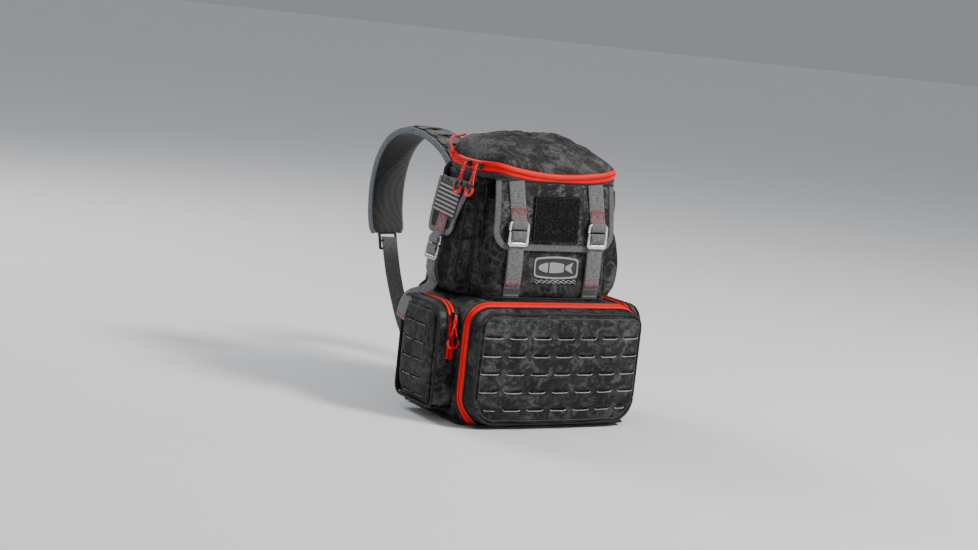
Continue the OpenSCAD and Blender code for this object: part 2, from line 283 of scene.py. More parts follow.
# dark webbing; on the front anchors it also serves as painted shade
WEB_DARK = webbing("dark_webbing", 0.045)
BINDING = webbing("heathered_binding", 0.15, 0.7)
STRAP_EDGE = plain_fabric("strap_edge", 0.17, -0.10)
RED_TAPE = coated_tape("red_zip_tape", (0.97, 0.0025, 0.005), (0.80, 0.002, 0.004))
RED_LINE = coated_tape("red_zip_line", (0.50, 0.003, 0.005), (0.60, 0.003, 0.005))
RED_THREAD = thread("red_thread", (0.80, 0.006, 0.025), (0.55, 0.004, 0.015))
DARK_THREAD = thread("dark_thread", grey(0.05), grey(0.02))
RED_CORD = cord_sheath("red_cord", (0.86, 0.006, 0.009), (0.50, 0.003, 0.004))
RED_PLASTIC = moulded("red_moulding", (0.88, 0.006, 0.008), 0.4)
SILVER = satin_metal("satin_silver", 0.86, 0.26)
BLACK_METAL = moulded("black_slider", grey(0.012), 0.3)
BADGE = moulded("badge_rubber", grey(0.34), 0.6)
BADGE_DARK = moulded("badge_ground", grey(0.03), 0.75)
PATCH_GREY = moulded("patch_grey", grey(0.34), 0.8)
PILE = loop_pile()
MESH = spacer_mesh()

# ---------------------------------------------------------------- geometry helpers


def arr(points):
    return np.array(points, float)


def finish_object(name, me, body, mat, nodes=(), modifiers=()):
    """Links a mesh, gives it its material, and says what it rides on and replaces."""
    ob = bpy.data.objects.new(name, me)
    bpy.context.scene.collection.objects.link(ob)
    ob.data.materials.append(mat)
    for kind, settings in modifiers:
        mod = ob.modifiers.new(kind.title(), kind)
        for key, value in settings.items():
            setattr(mod, key, value)
    if nodes:
        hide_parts(*nodes)
    if body:
        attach(ob, body)
    return ob


def outward(verts, faces, centre):
    """The faces, turned over if most of them look towards the centre."""
    v, total = arr(verts), 0.0
    c = arr(centre)
    for f in faces[::3]:
        a, b, d = v[f[0]], v[f[1]], v[f[2]]
        n = np.cross(b - a, d - a)
        total += float(n @ (a - c)) / max(np.linalg.norm(a - c), 1e-6)
    return faces if total >= 0 else [f[::-1] for f in faces]


def build(name, verts, faces, body, mat, nodes=(), uvs=None, modifiers=(), sharp=None,
          centre=None):
    """A piece from points in millimetres."""
    me = bpy.data.meshes.new(name)
    if centre is not None:
        faces = outward(verts, faces, centre)
    me.from_pydata([tuple(v) for v in (arr(verts) * MM)], [], faces)
    if uvs is not None:
        layer = me.uv_layers.new(name="UVMap")
        flat = arr(uvs)
        loops = np.zeros(len(me.loops), int)
        me.loops.foreach_get("vertex_index", loops)
        layer.data.foreach_set("uv", flat[loops].ravel())
    me.polygons.foreach_set("use_smooth", [True] * len(me.polygons))
    if sharp:
        me.set_sharp_from_angle(angle=math.radians(sharp))
    me.validate()
    return finish_object(name, me, body, mat, nodes, modifiers)


def thick(t, offset=-1.0):
    return ("SOLIDIFY", {"thickness": t * MM, "offset": offset, "use_even_offset": False})


def sub(levels=1):
    return ("SUBSURF", {"levels": levels, "render_levels": levels})


def grid_faces(n, m, wrap=False):
    """Quads of an n by m grid of points."""
    faces = []
    for i in range(n - 1 + (1 if wrap else 0)):
        a, b = i * m, ((i + 1) % n) * m
        faces += [(a + j, b + j, b + j + 1, a + j + 1) for j in range(m - 1)]
    return faces


def ring_faces(k, m):
    """Faces between k closed rings of m points."""
    return [(i * m + j, i * m + (j + 1) % m, (i + 1) * m + (j + 1) % m, (i + 1) * m + j)
            for i in range(k - 1) for j in range(m)]


def sheet_grid(name, P, body, mat, t=2.0, wrap=False, slot="pack_fabric", nodes=(), levels=1, centre=None):
    """A fabric sheet from a grid of points, given a thickness on the side of its centre."""
    n, m = P.shape[:2]
    if centre is None:
        centre = (0, 40, float(P[..., 2].mean()))
    mods = [thick(t)] + ([sub(levels)] if levels else [])
    return build(name, P.reshape(-1, 3), grid_faces(n, m, wrap), body, mat, nodes, modifiers=mods,
                 centre=centre)


def run_length(p):
    """Distance along a polyline at each of its points."""
    return np.concatenate([[0], np.cumsum(np.linalg.norm(np.diff(p, axis=0), axis=1))])


def resample(points, step=None, count=None, closed=False):
    """Catmull-Rom through the points, then evenly spaced."""
    p = arr(points)
    if closed:
        ring = np.vstack([p[-1], p, p[0], p[1]])
    else:
        ring = np.vstack([2 * p[0] - p[1], p, 2 * p[-1] - p[-2]])
    out = []
    for i in range(1, len(ring) - 2):
        a, b, c, d = ring[i - 1:i + 3]
        for t in np.linspace(0, 1, 12, endpoint=False):
            out.append(0.5 * (2 * b + (c - a) * t + (2 * a - 5 * b + 4 * c - d) * t ** 2
                              + (3 * b - a - 3 * c + d) * t ** 3))
    out.append(ring[-2])
    out = arr(out)
    length = run_length(out)
    total = length[-1]
    count = count or max(4, int(round(total / step)) + 1)
    s = np.linspace(0, total, count)
    res = np.stack([np.interp(s, length, out[:, k]) for k in range(3)], 1)
    return res[:-1] if closed else res


def unit(v):
    v = arr(v)
    return v / np.maximum(np.linalg.norm(v, axis=-1, keepdims=True), 1e-9)


def tangents(p, closed=False):
    if closed:
        return unit(np.roll(p, -1, 0) - np.roll(p, 1, 0))
    return unit(np.gradient(p, axis=0))


def sweep(name, path, side, profile, body, mat, nodes=(), closed=False, sharp=40,
          swell=None):
    """Sweeps a closed profile of (sideways, outward) points along a path. side is across the strap."""
    path = arr(path)
    t = tangents(path, closed)
    s = arr(side)
    s = np.broadcast_to(s, path.shape) if s.ndim == 1 else s
    s = unit(s - t * np.sum(s * t, 1, keepdims=True))
    o = np.cross(t, s)
    prof = arr(profile)
    n, m = len(path), len(prof)
    scale = np.ones(n) if swell is None else arr(swell)
    verts = (path[:, None] + s[:, None] * prof[None, :, :1] * scale[:, None, None]
             + o[:, None] * prof[None, :, 1:])
    run, around = run_length(path) / 25, run_length(prof) / 25
    uvs = np.stack(np.broadcast_arrays(run[:, None], around[None]), -1).reshape(-1, 2)
    faces = []
    for i in range(n if closed else n - 1):
        a, b = i * m, ((i + 1) % n) * m
        faces += [(a + j, a + (j + 1) % m, b + (j + 1) % m, b + j) for j in range(m)]
    if not closed:
        faces += [tuple(range(m))[::-1], tuple(range((n - 1) * m, n * m))]
    return build(name, verts.reshape(-1, 3), faces, body, mat, nodes, uvs, sharp=sharp)


def flat_profile(w, t):
    """Webbing section: flat, with rolled edges."""
    h, r = w / 2, t / 2
    xs = [-h + 0.3 * r, -h + r, -w / 4, 0, w / 4, h - r, h - 0.3 * r]
    top = [(x, r if abs(x) < h - 0.5 * r else r * 0.72) for x in xs]
    return [(-h, 0)] + top + [(h, 0)] + [(x, -y) for x, y in reversed(top)]


def round_profile(r, n=10, flat=1.0):
    """A round or flattened section."""
    return [(r * math.cos(a), r * flat * math.sin(a)) for a in np.linspace(0, 2 * math.pi, n,
            endpoint=False)]


def strap(name, points, side, w, t, body, mat=None, nodes=(), step=3.0):
    """Webbing w wide and t thick along a smooth route."""
    return sweep(name, resample(points, step=step), side, flat_profile(w, t), body, mat or WEB, nodes)


def tube(name, points, r, body, mat, closed=False, step=2.5, slot="grey_webbing", nodes=(), flat=1.0,
         side=None, smooth=True):
    path = resample(points, step=step, closed=closed) if smooth else arr(points)
    t = tangents(path, closed)
    if side is None:
        up = arr([0, 0, 1]) if np.mean(np.abs(t[:, 2])) < 0.8 else arr([0, 1, 0])
        side = np.cross(t, up)
        weak = np.linalg.norm(side, axis=1) < 0.05
        side[weak] = np.cross(t[weak], arr([1, 0, 0.1]))
        side = unit(side)
    return sweep(name, path, side, round_profile(r, flat=flat), body, mat, nodes, closed, sharp=None)


def piping(name, points, r, body, **more):
    """Dark bound seam."""
    return tube(name, points, r, body, BAND, slot="pack_fabric", **more)


def beads(name, segments, r, body, mat, parts=5):
    """Sewn stitches: one spindle for each (start, end)."""
    verts, faces = [], []
    for a, b in segments:
        a, b = arr(a), arr(b)
        d = unit(b - a)
        u = unit(np.cross(d, [0.3, 0.5, 0.8]))
        v = np.cross(d, u)
        base = len(verts)
        for at, k in ((0, 0.35), (0.2, 1), (0.8, 1), (1, 0.35)):
            c = a + (b - a) * at
            for q in range(parts):
                ang = 2 * math.pi * q / parts
                verts.append(c + (u * math.cos(ang) + v * math.sin(ang)) * r * k)
        for ring in range(3):
            for q in range(parts):
                i, j = base + ring * parts + q, base + ring * parts + (q + 1) % parts
                faces.append((i, j, j + parts, i + parts))
        faces.append(tuple(base + q for q in range(parts))[::-1])
        faces.append(tuple(base + 3 * parts + q for q in range(parts)))
    return build(name, verts, faces, body, mat)


def dashes(path, pitch=4.2, fill=0.68):
    """Splits a polyline into stitch segments."""
    p = arr(path)
    length = run_length(p)
    count = max(1, int(length[-1] / pitch))
    ends = np.linspace(0, length[-1], count + 1)

    def at(s):
        return arr([np.interp(s, length, p[:, k]) for k in range(3)])

    return [(at(a), at(a + (b - a) * fill)) for a, b in zip(ends[:-1], ends[1:])]


def ripple(p, seed=0.0, scale=(1, 1, 1), size=40.0, octaves=3):
    """Smooth noise at each point of p, in millimetres of feature size."""
    flat = arr(p).reshape(-1, 3) * arr(scale) / size + seed
    out = [noise.fractal(Vector(q), 1.0, 2.1, octaves) for q in flat]
    return arr(out).reshape(arr(p).shape[:-1])


def creases(p, seed=0.0, scale=(1, 1, 1), size=45.0):
    """Sharp valleys between soft swells, as in pulled cloth."""
    flat = arr(p).reshape(-1, 3) * arr(scale) / size + seed
    out = [-max(0.0, 1 - 5 * abs(noise.noise(Vector(q)))) ** 1.5 for q in flat]
    return arr(out).reshape(arr(p).shape[:-1])


def grid_normals(P, centre):
    """Unit normals of a grid of points, all facing away from the centre."""
    n = unit(np.cross(np.gradient(P, axis=0), np.gradient(P, axis=1)))
    return n * np.sign(np.sum(n * (P - arr(centre)), -1))[..., None]


def round_rect(w, h, r, step=5.0, n_arc=7):
    """Closed outline of a rounded rectangle, anticlockwise from the right side."""
    r4 = r if isinstance(r, (list, tuple)) else [r] * 4
    pts = []
    for (sx, sy, a0), rr in zip(((1, 1, 0), (-1, 1, 90), (-1, -1, 180), (1, -1, 270)), r4):
        cx, cy = sx * (w / 2 - rr), sy * (h / 2 - rr)
        for a in np.radians(np.linspace(a0, a0 + 90, n_arc)):
            pts.append((cx + rr * math.cos(a), cy + rr * math.sin(a)))
    out = []
    for a, b in zip(pts, pts[1:] + pts[:1]):
        a, b = arr(a), arr(b)
        k = max(1, int(np.linalg.norm(b - a) / step))
        out += [tuple(a + (b - a) * i / k) for i in range(k)]
    return arr(out)


def upright(x, y, z, tilt=90.0):
    """Placement of a plate that stands up and faces the front."""
    return Matrix.Translation((x * MM, y * MM, z * MM)) @ Matrix.Rotation(math.radians(tilt), 4, "X")


def plate(name, outlines, place, t, body, mat, nodes=(), bevel=0.5, res=2):
    """A flat plate with holes: outlines are (X, Y) rings, the first one outside."""
    curve = bpy.data.curves.new(name, "CURVE")
    curve.dimensions = "2D"
    curve.fill_mode = "BOTH"
    for ring in outlines:
        spline = curve.splines.new("POLY")
        spline.points.add(len(ring) - 1)
        for point, (x, y) in zip(spline.points, ring):
            point.co = (x * MM, y * MM, 0, 1)
        spline.use_cyclic_u = True
    curve.extrude = max(0.0, t / 2 - bevel) * MM
    curve.bevel_depth = bevel * MM
    curve.bevel_resolution = res
    curve.offset = -bevel * MM
    temp = bpy.data.objects.new(name + "_curve", curve)
    bpy.context.scene.collection.objects.link(temp)
    dg = bpy.context.evaluated_depsgraph_get()
    me = bpy.data.meshes.new_from_object(temp.evaluated_get(dg))
    me.transform(place)
    bpy.data.objects.remove(temp)
    me.name = name
    me.polygons.foreach_set("use_smooth", [True] * len(me.polygons))
    me.set_sharp_from_angle(angle=math.radians(35))
    me.materials.clear()
    return finish_object(name, me, body, mat, nodes)


def face_map(w, h, radii, nx, ny, cuts_x=(), cuts_y=()):
    """Grid over a rounded rectangle: the grid's lines, with points outside the corners moved onto the arc."""
    xs = np.unique(np.round(np.concatenate([np.linspace(-w / 2, w / 2, nx), list(cuts_x)]), 3))
    ys = np.unique(np.round(np.concatenate([np.linspace(-h / 2, h / 2, ny), list(cuts_y)]), 3))
    X, Y = np.meshgrid(xs, ys, indexing="ij")
    top, low = radii if isinstance(radii, tuple) else (radii, radii)
    r = np.where(Y > 0, top, low)
    cx, cy = np.abs(X) - (w / 2 - r), np.abs(Y) - (h / 2 - r)
    out = (cx > 0) & (cy > 0)
    d = np.hypot(cx, cy)
    m = np.maximum(np.maximum(cx, cy), 1e-6)
    k = np.where(out & (d > 0), m / np.maximum(d, 1e-6), 1.0)
    X2 = np.where(out, np.sign(X) * (w / 2 - r + cx * k), X)
    Y2 = np.where(out, np.sign(Y) * (h / 2 - r + cy * k), Y)
    return xs, ys, X2, Y2

# ---------------------------------------------------------------- camera, floor and light


def aim_camera():
    """The photograph's viewing angle: from the left front, a little above, rolled a few degrees."""
    azimuth, elevation, roll = math.radians(-34), math.radians(11), math.radians(6.6)
    distance = 2.6
    anchor = Vector((0, -0.095, 0.072))
    # the anchor stands right of the axis and below it
    framing = Vector((0.0382, -0.0564, -1))
    back = Vector((math.sin(azimuth) * math.cos(elevation), -math.cos(azimuth) * math.cos(elevation),
                   math.sin(elevation)))
    right = Vector((math.cos(azimuth), math.sin(azimuth), 0))
    up = back.cross(right)
    right, up = (right * math.cos(roll) + up * math.sin(roll), up * math.cos(roll) - right * math.sin(roll))
    base = Matrix((right, up, back)).transposed()
    turn = Vector((0, 0, -1)).rotation_difference(framing.normalized()).to_matrix()
    cam = bpy.data.cameras.new("camera")
    cam.sensor_width = 36
    cam.lens = 68.06
    cam.clip_start, cam.clip_end = 0.05, 50
    ob = bpy.data.objects.new("camera", cam)
    bpy.context.scene.collection.objects.link(ob)
    ob.matrix_world = Matrix.Translation(anchor + back * distance) @ (base @ turn.transposed()).to_4x4()
    bpy.context.scene.camera = ob


def area_light(name, place, target, size, power, colour=(1, 1, 1)):
    light = bpy.data.lights.new(name, "AREA")
    light.shape = "DISK"
    light.size, light.energy, light.color = size, power, colour
    ob = bpy.data.objects.new(name, light)
    bpy.context.scene.collection.objects.link(ob)
    ob.location = place
    ob.rotation_euler = (Vector(target) - Vector(place)).to_track_quat("-Z", "Y").to_euler()


def set_stage():
    """Pale floor, soft studio lights and a dim sky."""
    me = bpy.data.meshes.new("floor")
    half, level = 60.0, -0.0006
    corners = ((-half, -half), (half, -half), (half, half), (-half, half))
    me.from_pydata([(x, y, level) for x, y in corners], [], [(0, 1, 2, 3)])
    floor = bpy.data.objects.new("floor", me)
    bpy.context.scene.collection.objects.link(floor)
    n = Nodes("pale_floor", roughness=0.9)
    n.colour(n.ramp(n.noise(3), [(0.2, (0.80, 0.81, 0.82)), (0.8, (0.84, 0.84, 0.85))]))
    me.materials.append(n.mat)
    world = bpy.data.worlds.new("studio")
    bpy.context.scene.world = world
    world.use_nodes = True
    world.node_tree.nodes["Background"].inputs["Color"].default_value = (0.84, 0.88, 0.94, 1)
    world.node_tree.nodes["Background"].inputs["Strength"].default_value = 0.31
    area_light("key", (1.5, -1.9, 2.6), (0, 0, 0.2), 0.8, 130, (1.0, 0.97, 0.93))
    area_light("fill", (-2.4, -1.6, 1.1), (0, 0, 0.2), 1.8, 7, (0.92, 0.96, 1.0))
    overhead = bpy.data.lights.new("overhead", "SUN")
    overhead.energy, overhead.angle = 0.35, math.radians(60)
    bpy.context.scene.collection.objects.link(bpy.data.objects.new("overhead", overhead))
    area_light("rim", (-0.8, 2.2, 2.0), (0, 0, 0.25), 1.2, 42)


aim_camera()
set_stage()

# ---------------------------------------------------------------- lower compartment

LOW_X, LOW_H = 138.0, 172.0


def low_outline(steps=7):
    """Points and outward directions round the lower compartment, from foot to foot."""
    pts = [(-LOW_X, z, -1, 0) for z in np.arange(8, 142, 7)]
    for a in np.radians(np.linspace(180, 90, steps)):
        pts.append((-108 + 30 * math.cos(a), 142 + 30 * math.sin(a), math.cos(a), math.sin(a)))
    pts += [(x, LOW_H, 0, 1) for x in np.arange(-100, 0.1, 8)]
    return arr(pts + [(-x, z, -nx, nz) for x, z, nx, nz in reversed(pts) if x < -0.1])


OUTLINE = low_outline()


def low_row(y, side, top, curl=0.0, squeeze=0.0):
    """One row round the compartment, offset from the outline, with its feet curled forward."""
    x, z, nx, nz = OUTLINE.T
    g = side * nx ** 2 + top * nz ** 2
    px, pz = x + nx * g, z + nz * g
    k = np.clip((42 - pz) / 40, 0, 1) ** 1.6
    py = y + (-88 - y) * curl * k
    px = px * (1 - 0.05 * k * (1 + squeeze)) - np.sign(px) * curl * 22 * np.clip((40 - pz) / 34, 0, 1) ** 2
    return np.stack([px, py, pz - 3 * k], 1)


def lower_compartment():
    """Shell of the tray compartment, and the body half of its zip."""
    rows = [low_row(y, 0, 0) for y in np.linspace(91, -36, 24)]
    rows += [low_row(-46, 0.8, 0.3, 0.1), low_row(-54, 3.2, 1.2, 0.3), low_row(-58.5, 5, 2, 0.45)]
    P = arr(rows)
    crown = np.sin(np.linspace(0, math.pi, len(rows)))[:, None]
    out = arr([[nx, 0, nz] for _, _, nx, nz in OUTLINE])
    P = P + out[None] * (crown * 1.2 + 1.3 * ripple(P, 2.0, size=48) * crown)[..., None]
    sheet_grid("lower_shell", P, "pack", FABRIC, 2.5, nodes=("left_lower_wall", "right_lower_wall",
                                                             "divider_shelf"))
    rows = [low_row(y, g, h, c) for y, g, h, c in
            ((-58.0, 5.6, 2.6, 0.45), (-60.5, 5.4, 1.9, 0.55), (-63.0, 4.1, 0.2, 0.62))]
    sheet_grid("front_zip_body_half", arr(rows), "pack", RED_TAPE, 1.2, slot="red_zip",
               nodes=("front_zip_body_tape",))
    tube("front_zip_line", low_row(-63.2, 4.3, 0.2, 0.64), 0.8, "pack", RED_LINE, slot="red_zip")
    for y, g, h in ((-57.2, 5.2, 2.3), (88, 0.6, 0.6)):
        piping(f"lower_seam_{int(-y)}", low_row(y, g, h, 0.42 if y < 0 else 0), 1.1, "pack")


def base():
    """Stiffened floor, and the gusset under the door."""
    ring = round_rect(274, 150, 10)
    place = Matrix.Translation((0, 0.0145, 0.0025))
    plate("base_sheet", [ring], place, 5, "pack", LINING, nodes=("base_panel",),
          bevel=1.8)
    X, Y = np.meshgrid(np.linspace(-1, 1, 40), np.linspace(0, 1, 7), indexing="ij")
    height = 3.6 + 3 * np.abs(X) ** 8 * (1 - Y) + 0.6 * np.sin(Y * 3.1)
    P = np.stack([X * (134 - 9 * Y), -58 - 27 * Y, height], -1)
    sheet_grid("front_bottom_gusset", P, "pack", FABRIC, 1.5, centre=(0, -70, 200))


PANEL = dict(w=266.0, h=154.0, r=(19.0, 34.0), z=86.0)


def panel_y(x, z):
    """The front panel's crown."""
    u, v = x / 133, (z - PANEL["z"]) / 77
    edge = np.clip(1 - np.abs(u) ** 4, 0, 1) * np.clip(1 - np.abs(v) ** 4, 0, 1)
    return -88.5 - 7.5 * (1 - u * u) * (0.55 + 0.45 * edge) - 2.6 * edge


def panel_waves(x, z):
    p = np.stack([x, 0 * x, z], -1)
    low = np.clip((70 - z) / 60, 0, 1)
    left = np.clip((-x - 30) / 90, 0, 1)
    return (2.2 * ripple(p, 5.0, (0.7, 1, 1.3), 52) + low * (3.0 + 3.0 * left)
            * creases(p, 9.0, (0.5, 1, 1.6), 60) + 1.8 * creases(p, 2.0, (0.35, 1, 1.0), 50))


def panel_front(x, z):
    """The panel's crown with its waves, kept flat enough to lie on the floor with the door open."""
    y = panel_y(x, z) + panel_waves(x, z)
    deep = np.maximum(-95.0 - y, 0)
    return y + deep - 3.2 * (1 - np.exp(-deep / 3.2))


def slotted(name, xs, ys, X, Y, surface, slots, body, mat, t, nodes=(), centre=(0, 0, 86)):
    """A laminate with cut slots: grid cells inside a slot are left out."""
    P = surface(X, Y)
    n, m = X.shape
    faces = []
    for i in range(n - 1):
        for j in range(m - 1):
            cx, cy = (xs[i] + xs[i + 1]) / 2, (ys[j] + ys[j + 1]) / 2
            if any(abs(cx - sx) < w / 2 and abs(cy - sy) < h / 2 for sx, sy, w, h in slots):
                continue
            a = i * m + j
            faces.append((a, a + m, a + m + 1, a + 1))
    ob = build(name, P.reshape(-1, 3), faces, body, mat, nodes, modifiers=[thick(t, 1.0)],
               centre=centre)
    bm = bmesh.new()
    bm.from_mesh(ob.data)
    bmesh.ops.delete(bm, geom=[v for v in bm.verts if not v.link_faces], context="VERTS")
    bmesh.ops.remove_doubles(bm, verts=bm.verts, dist=0.00002)
    bm.to_mesh(ob.data)
    bm.free()
    return ob


def front_door():
    """The door: crowned panel, cut webbing grid, gusset and its half of the zip."""
    w, h, r, zc = PANEL["w"], PANEL["h"], PANEL["r"], PANEL["z"]
    _, _, X, Z = face_map(w, h, r, 60, 38)
    Z = Z + zc
    P = np.stack([X, panel_front(X, Z), Z], -1)
    sheet_grid("front_panel", P, "front_door", FABRIC, 3.0, nodes=("front_door",))
    slots = [(c * 38.1, 131.6 - k * 25.4 - zc, 25.4, 3.6) for c in range(-3, 4) for k in range(5)]
    slots = [(x - 5 * (1 if x > 0 else -1), v, 15.4, h2) if abs(x) > 110 and v < -50 else (x, v, w2, h2)
             for x, v, w2, h2 in slots]
    cuts_x = [s[0] + d for s in slots for d in (-s[2] / 2, s[2] / 2)]
    cuts_y = [s[1] + d for s in slots for d in (-1.8, 1.8, 0)]
    xs, ys, X, Z = face_map(w - 10, h - 10, (14, 29), 60, 38, cuts_x, cuts_y)

    def surface(a, b):
        b = b + zc
        return np.stack([a, panel_front(a, b) - 1.3, b], -1)

    slotted("front_grid_laminate", xs, ys, X, Z, surface, slots, "front_door", LAMINATE, 1.1,
            ("front_grid_panel",))
    lips = []
    for sx, sz, sw, _ in slots:
        line = surface(np.linspace(sx - sw / 2 - 0.6, sx + sw / 2 + 0.6, 13), np.full(13, sz - 1.9))
        line[:, 1] -= 1.3
        line[:, 2] += 1.5 * np.abs(np.linspace(-1, 1, 13)) ** 8 - 0.3
        lips.append(line)
    join_strips("front_slot_edges", lips, 0.95, 0.9, "front_door", CUT_EDGE)
    rim = arr([(x, z) for x, z in round_rect(w - 10, h - 10, [14, 14, 29, 29])])
    edge = surface(rim[:, 0], rim[:, 1])
    edge[:, 1] -= 0.9
    tube("front_grid_seam", edge, 0.7, "front_door", DARK_THREAD, closed=True, slot="pack_fabric")
    rim = arr([(x, z + zc) for x, z in round_rect(w + 1, h + 1, [19.5, 19.5, 34.5, 34.5])])
    edge = np.stack([rim[:, 0], panel_y(rim[:, 0] * 0.99, rim[:, 1]) + 0.6, rim[:, 1]], 1)
    piping("front_panel_piping", edge, 2.0, "front_door", closed=True)
    rows = [low_row(y, g, t, c, 0.4) for y, g, t, c in ((-68.0, 0.9, -4.0, 0.75), (-74, -1.2, -6.2, 0.85),
                                                        (-81, -3.3, -8.6, 0.93), (-89, -5.4, -9.4, 1.0))]
    P = arr(rows)
    out = arr([[nx, 0, nz] for _, _, nx, nz in OUTLINE])
    mid = arr([0.2, 1, 1, 0.1])[:, None]
    P = P + out[None] * (mid * (0.8 + 1.1 * ripple(P, 4.0, size=38)))[..., None]
    P[:, :, 2] = np.maximum(P[:, :, 2], 7.0)
    sheet_grid("front_gusset", P, "front_door", FABRIC, 2.5)
    rows = [low_row(y, g, t, c, 0.2) for y, g, t, c in
            ((-63.4, 4.1, 0.2, 0.64), (-66, 2.6, -2.2, 0.70), (-69.0, 0.9, -4.6, 0.76))]
    P = arr(rows) + out[None] * 0.7
    sheet_grid("front_zip_door_half", P, "front_door", RED_TAPE, 1.2, slot="red_zip",
               nodes=("front_zip_door_tape",))
    piping("front_zip_welt", low_row(-69.6, 1.2, -4.0, 0.77), 1.3, "front_door")


def join_strips(name, lines, w, t, body, mat):
    """Many short flat strips as one piece."""
    verts, faces = [], []
    prof = arr(flat_profile(w, t))
    m = len(prof)
    for line in lines:
        tan = tangents(line)
        up = arr([0, 0, 1])
        s = unit(up - tan * (tan @ up)[:, None])
        o = np.cross(tan, s)
        ring = line[:, None] + s[:, None] * prof[None, :, :1] + o[:, None] * prof[None, :, 1:]
        base = len(verts)
        verts += list(ring.reshape(-1, 3))
        for i in range(len(line) - 1):
            for j in range(m):
                a, b = base + i * m + j, base + i * m + (j + 1) % m
                faces.append((a, b, b + m, a + m))
        faces.append(tuple(range(base, base + m))[::-1])
        faces.append(tuple(range(base + (len(line) - 1) * m, base + len(line) * m)))
    return build(name, verts, faces, body, mat)


lower_compartment()
base()
front_door()

# ---------------------------------------------------------------- upper compartment and lid

UP_X = 112.0
LID_Z = 357.0


def lid_plan(grow=0.0, step=5.0):
    """Outline of the lid: from the back left corner forward, round the front, to the back right."""
    pts = [(-UP_X - grow, y) for y in np.arange(74, 5, -step)]
    for a in np.radians(np.linspace(180, 270, 13)):
        pts.append((-73 + (39 + grow) * math.cos(a), 2.5 + (39 + grow) * math.sin(a)))
    pts += [(x, -36.5 - grow) for x in np.arange(-68, 0.1, step)]
    pts = pts + [(-x, y) for x, y in reversed(pts) if x < -0.1]
    return arr(pts)


def zip_height(x, y):
    """The lid's zip dips at the middle of the front and rises towards the back."""
    front = np.clip((14 - y) / 50, 0, 1) ** 1.4
    left = np.clip(-x / 112, 0, 1)
    return (LID_Z + left * (3.0 * np.clip((y - 30) / 50, 0, 1) + 2.0 * front) + 1.0
            * np.clip((y - 40) / 40, 0, 1) - 10.5 * front * np.clip(1 - (x / 98) ** 2, 0, 1))


def lid_row(z, grow):
    """One row round the lid, z above its zip and grow outside its outline."""
    p = lid_plan(grow)
    return np.stack([p[:, 0], p[:, 1], zip_height(p[:, 0], p[:, 1]) + z], 1)


def upper_compartment():
    """Walls of the upper compartment up to its rim."""
    plan = [(-106, 92), (-109, 80), (-110, 60), (-110.5, 40), (-110.5, 20), (-110, 8), (-107, 1),
            (-100, -2), (-80, -2), (-50, -2), (-20, -2), (0, -2)]
    plan = resample([(x, y, 0) for x, y in plan + [(-x, y) for x, y in reversed(plan[:-1])]], step=5)[:, :2]
    heights = np.linspace(171, 345, 32)
    P = arr([[(x, y, z) for x, y in plan] for z in heights])
    n = grid_normals(P, (0, 45, 250))
    n[..., 2] = 0
    n = unit(n)
    mid = np.sin(np.linspace(0, math.pi, len(heights)))[:, None]
    P = P + n * (mid * (1.8 * ripple(P, 11.0, (1, 1, 0.5), 42) + 3.2
                        * creases(P, 3.0, (1, 1, 0.4), 48)))[..., None]
    P[:, :, 1] = np.minimum(P[:, :, 1], 92)
    sheet_grid("upper_shell", P, "pack", FABRIC, 2.5,
               nodes=("left_upper_wall", "right_upper_wall", "upper_front_wall"))
    for sx, side in SIDES:
        line = [(sx * 108.6, -0.8, z) for z in np.linspace(174, 338, 16)]
        piping(f"{side}_front_piping", line, 1.9, "pack")
        line = [(sx * 96.0, -2.4, z) for z in np.linspace(174, 336, 16)]
        # painted light: the welt uses the lit copy of the nylon
        tube(f"{side}_front_welt", line, 1.2, "pack", FABRIC_PAINTED_LIT, slot="pack_fabric")
    rows = [lid_row(z, g) for z, g in ((-16, -1.5), (-13, 0.6), (-9, 1.2), (-6.6, 0.4))]
    sheet_grid("rim_band", arr(rows), "pack", RIM, 2.0, nodes=("top_rim",))
    plan = lid_plan(-2)
    inner = np.stack([np.clip(plan[:, 0], -104, 104), np.maximum(plan[:, 1], 2)], 1)
    rows = []
    for k in np.linspace(0, 1, 5):
        xy = plan * (1 - k) + inner * k
        rows.append(np.stack([xy[:, 0], xy[:, 1], zip_height(plan[:, 0], plan[:, 1]) - 15 - 3 * k], 1))
    sheet_grid("rim_underside", arr(rows), "pack", LINING, 1.5, centre=(0, 20, 600))


def zip_band(name, rows, body, nodes):
    """One half of the lid zip's tape."""
    sheet_grid(name, arr(rows), body, RED_TAPE, 1.3, slot="red_zip", nodes=nodes)


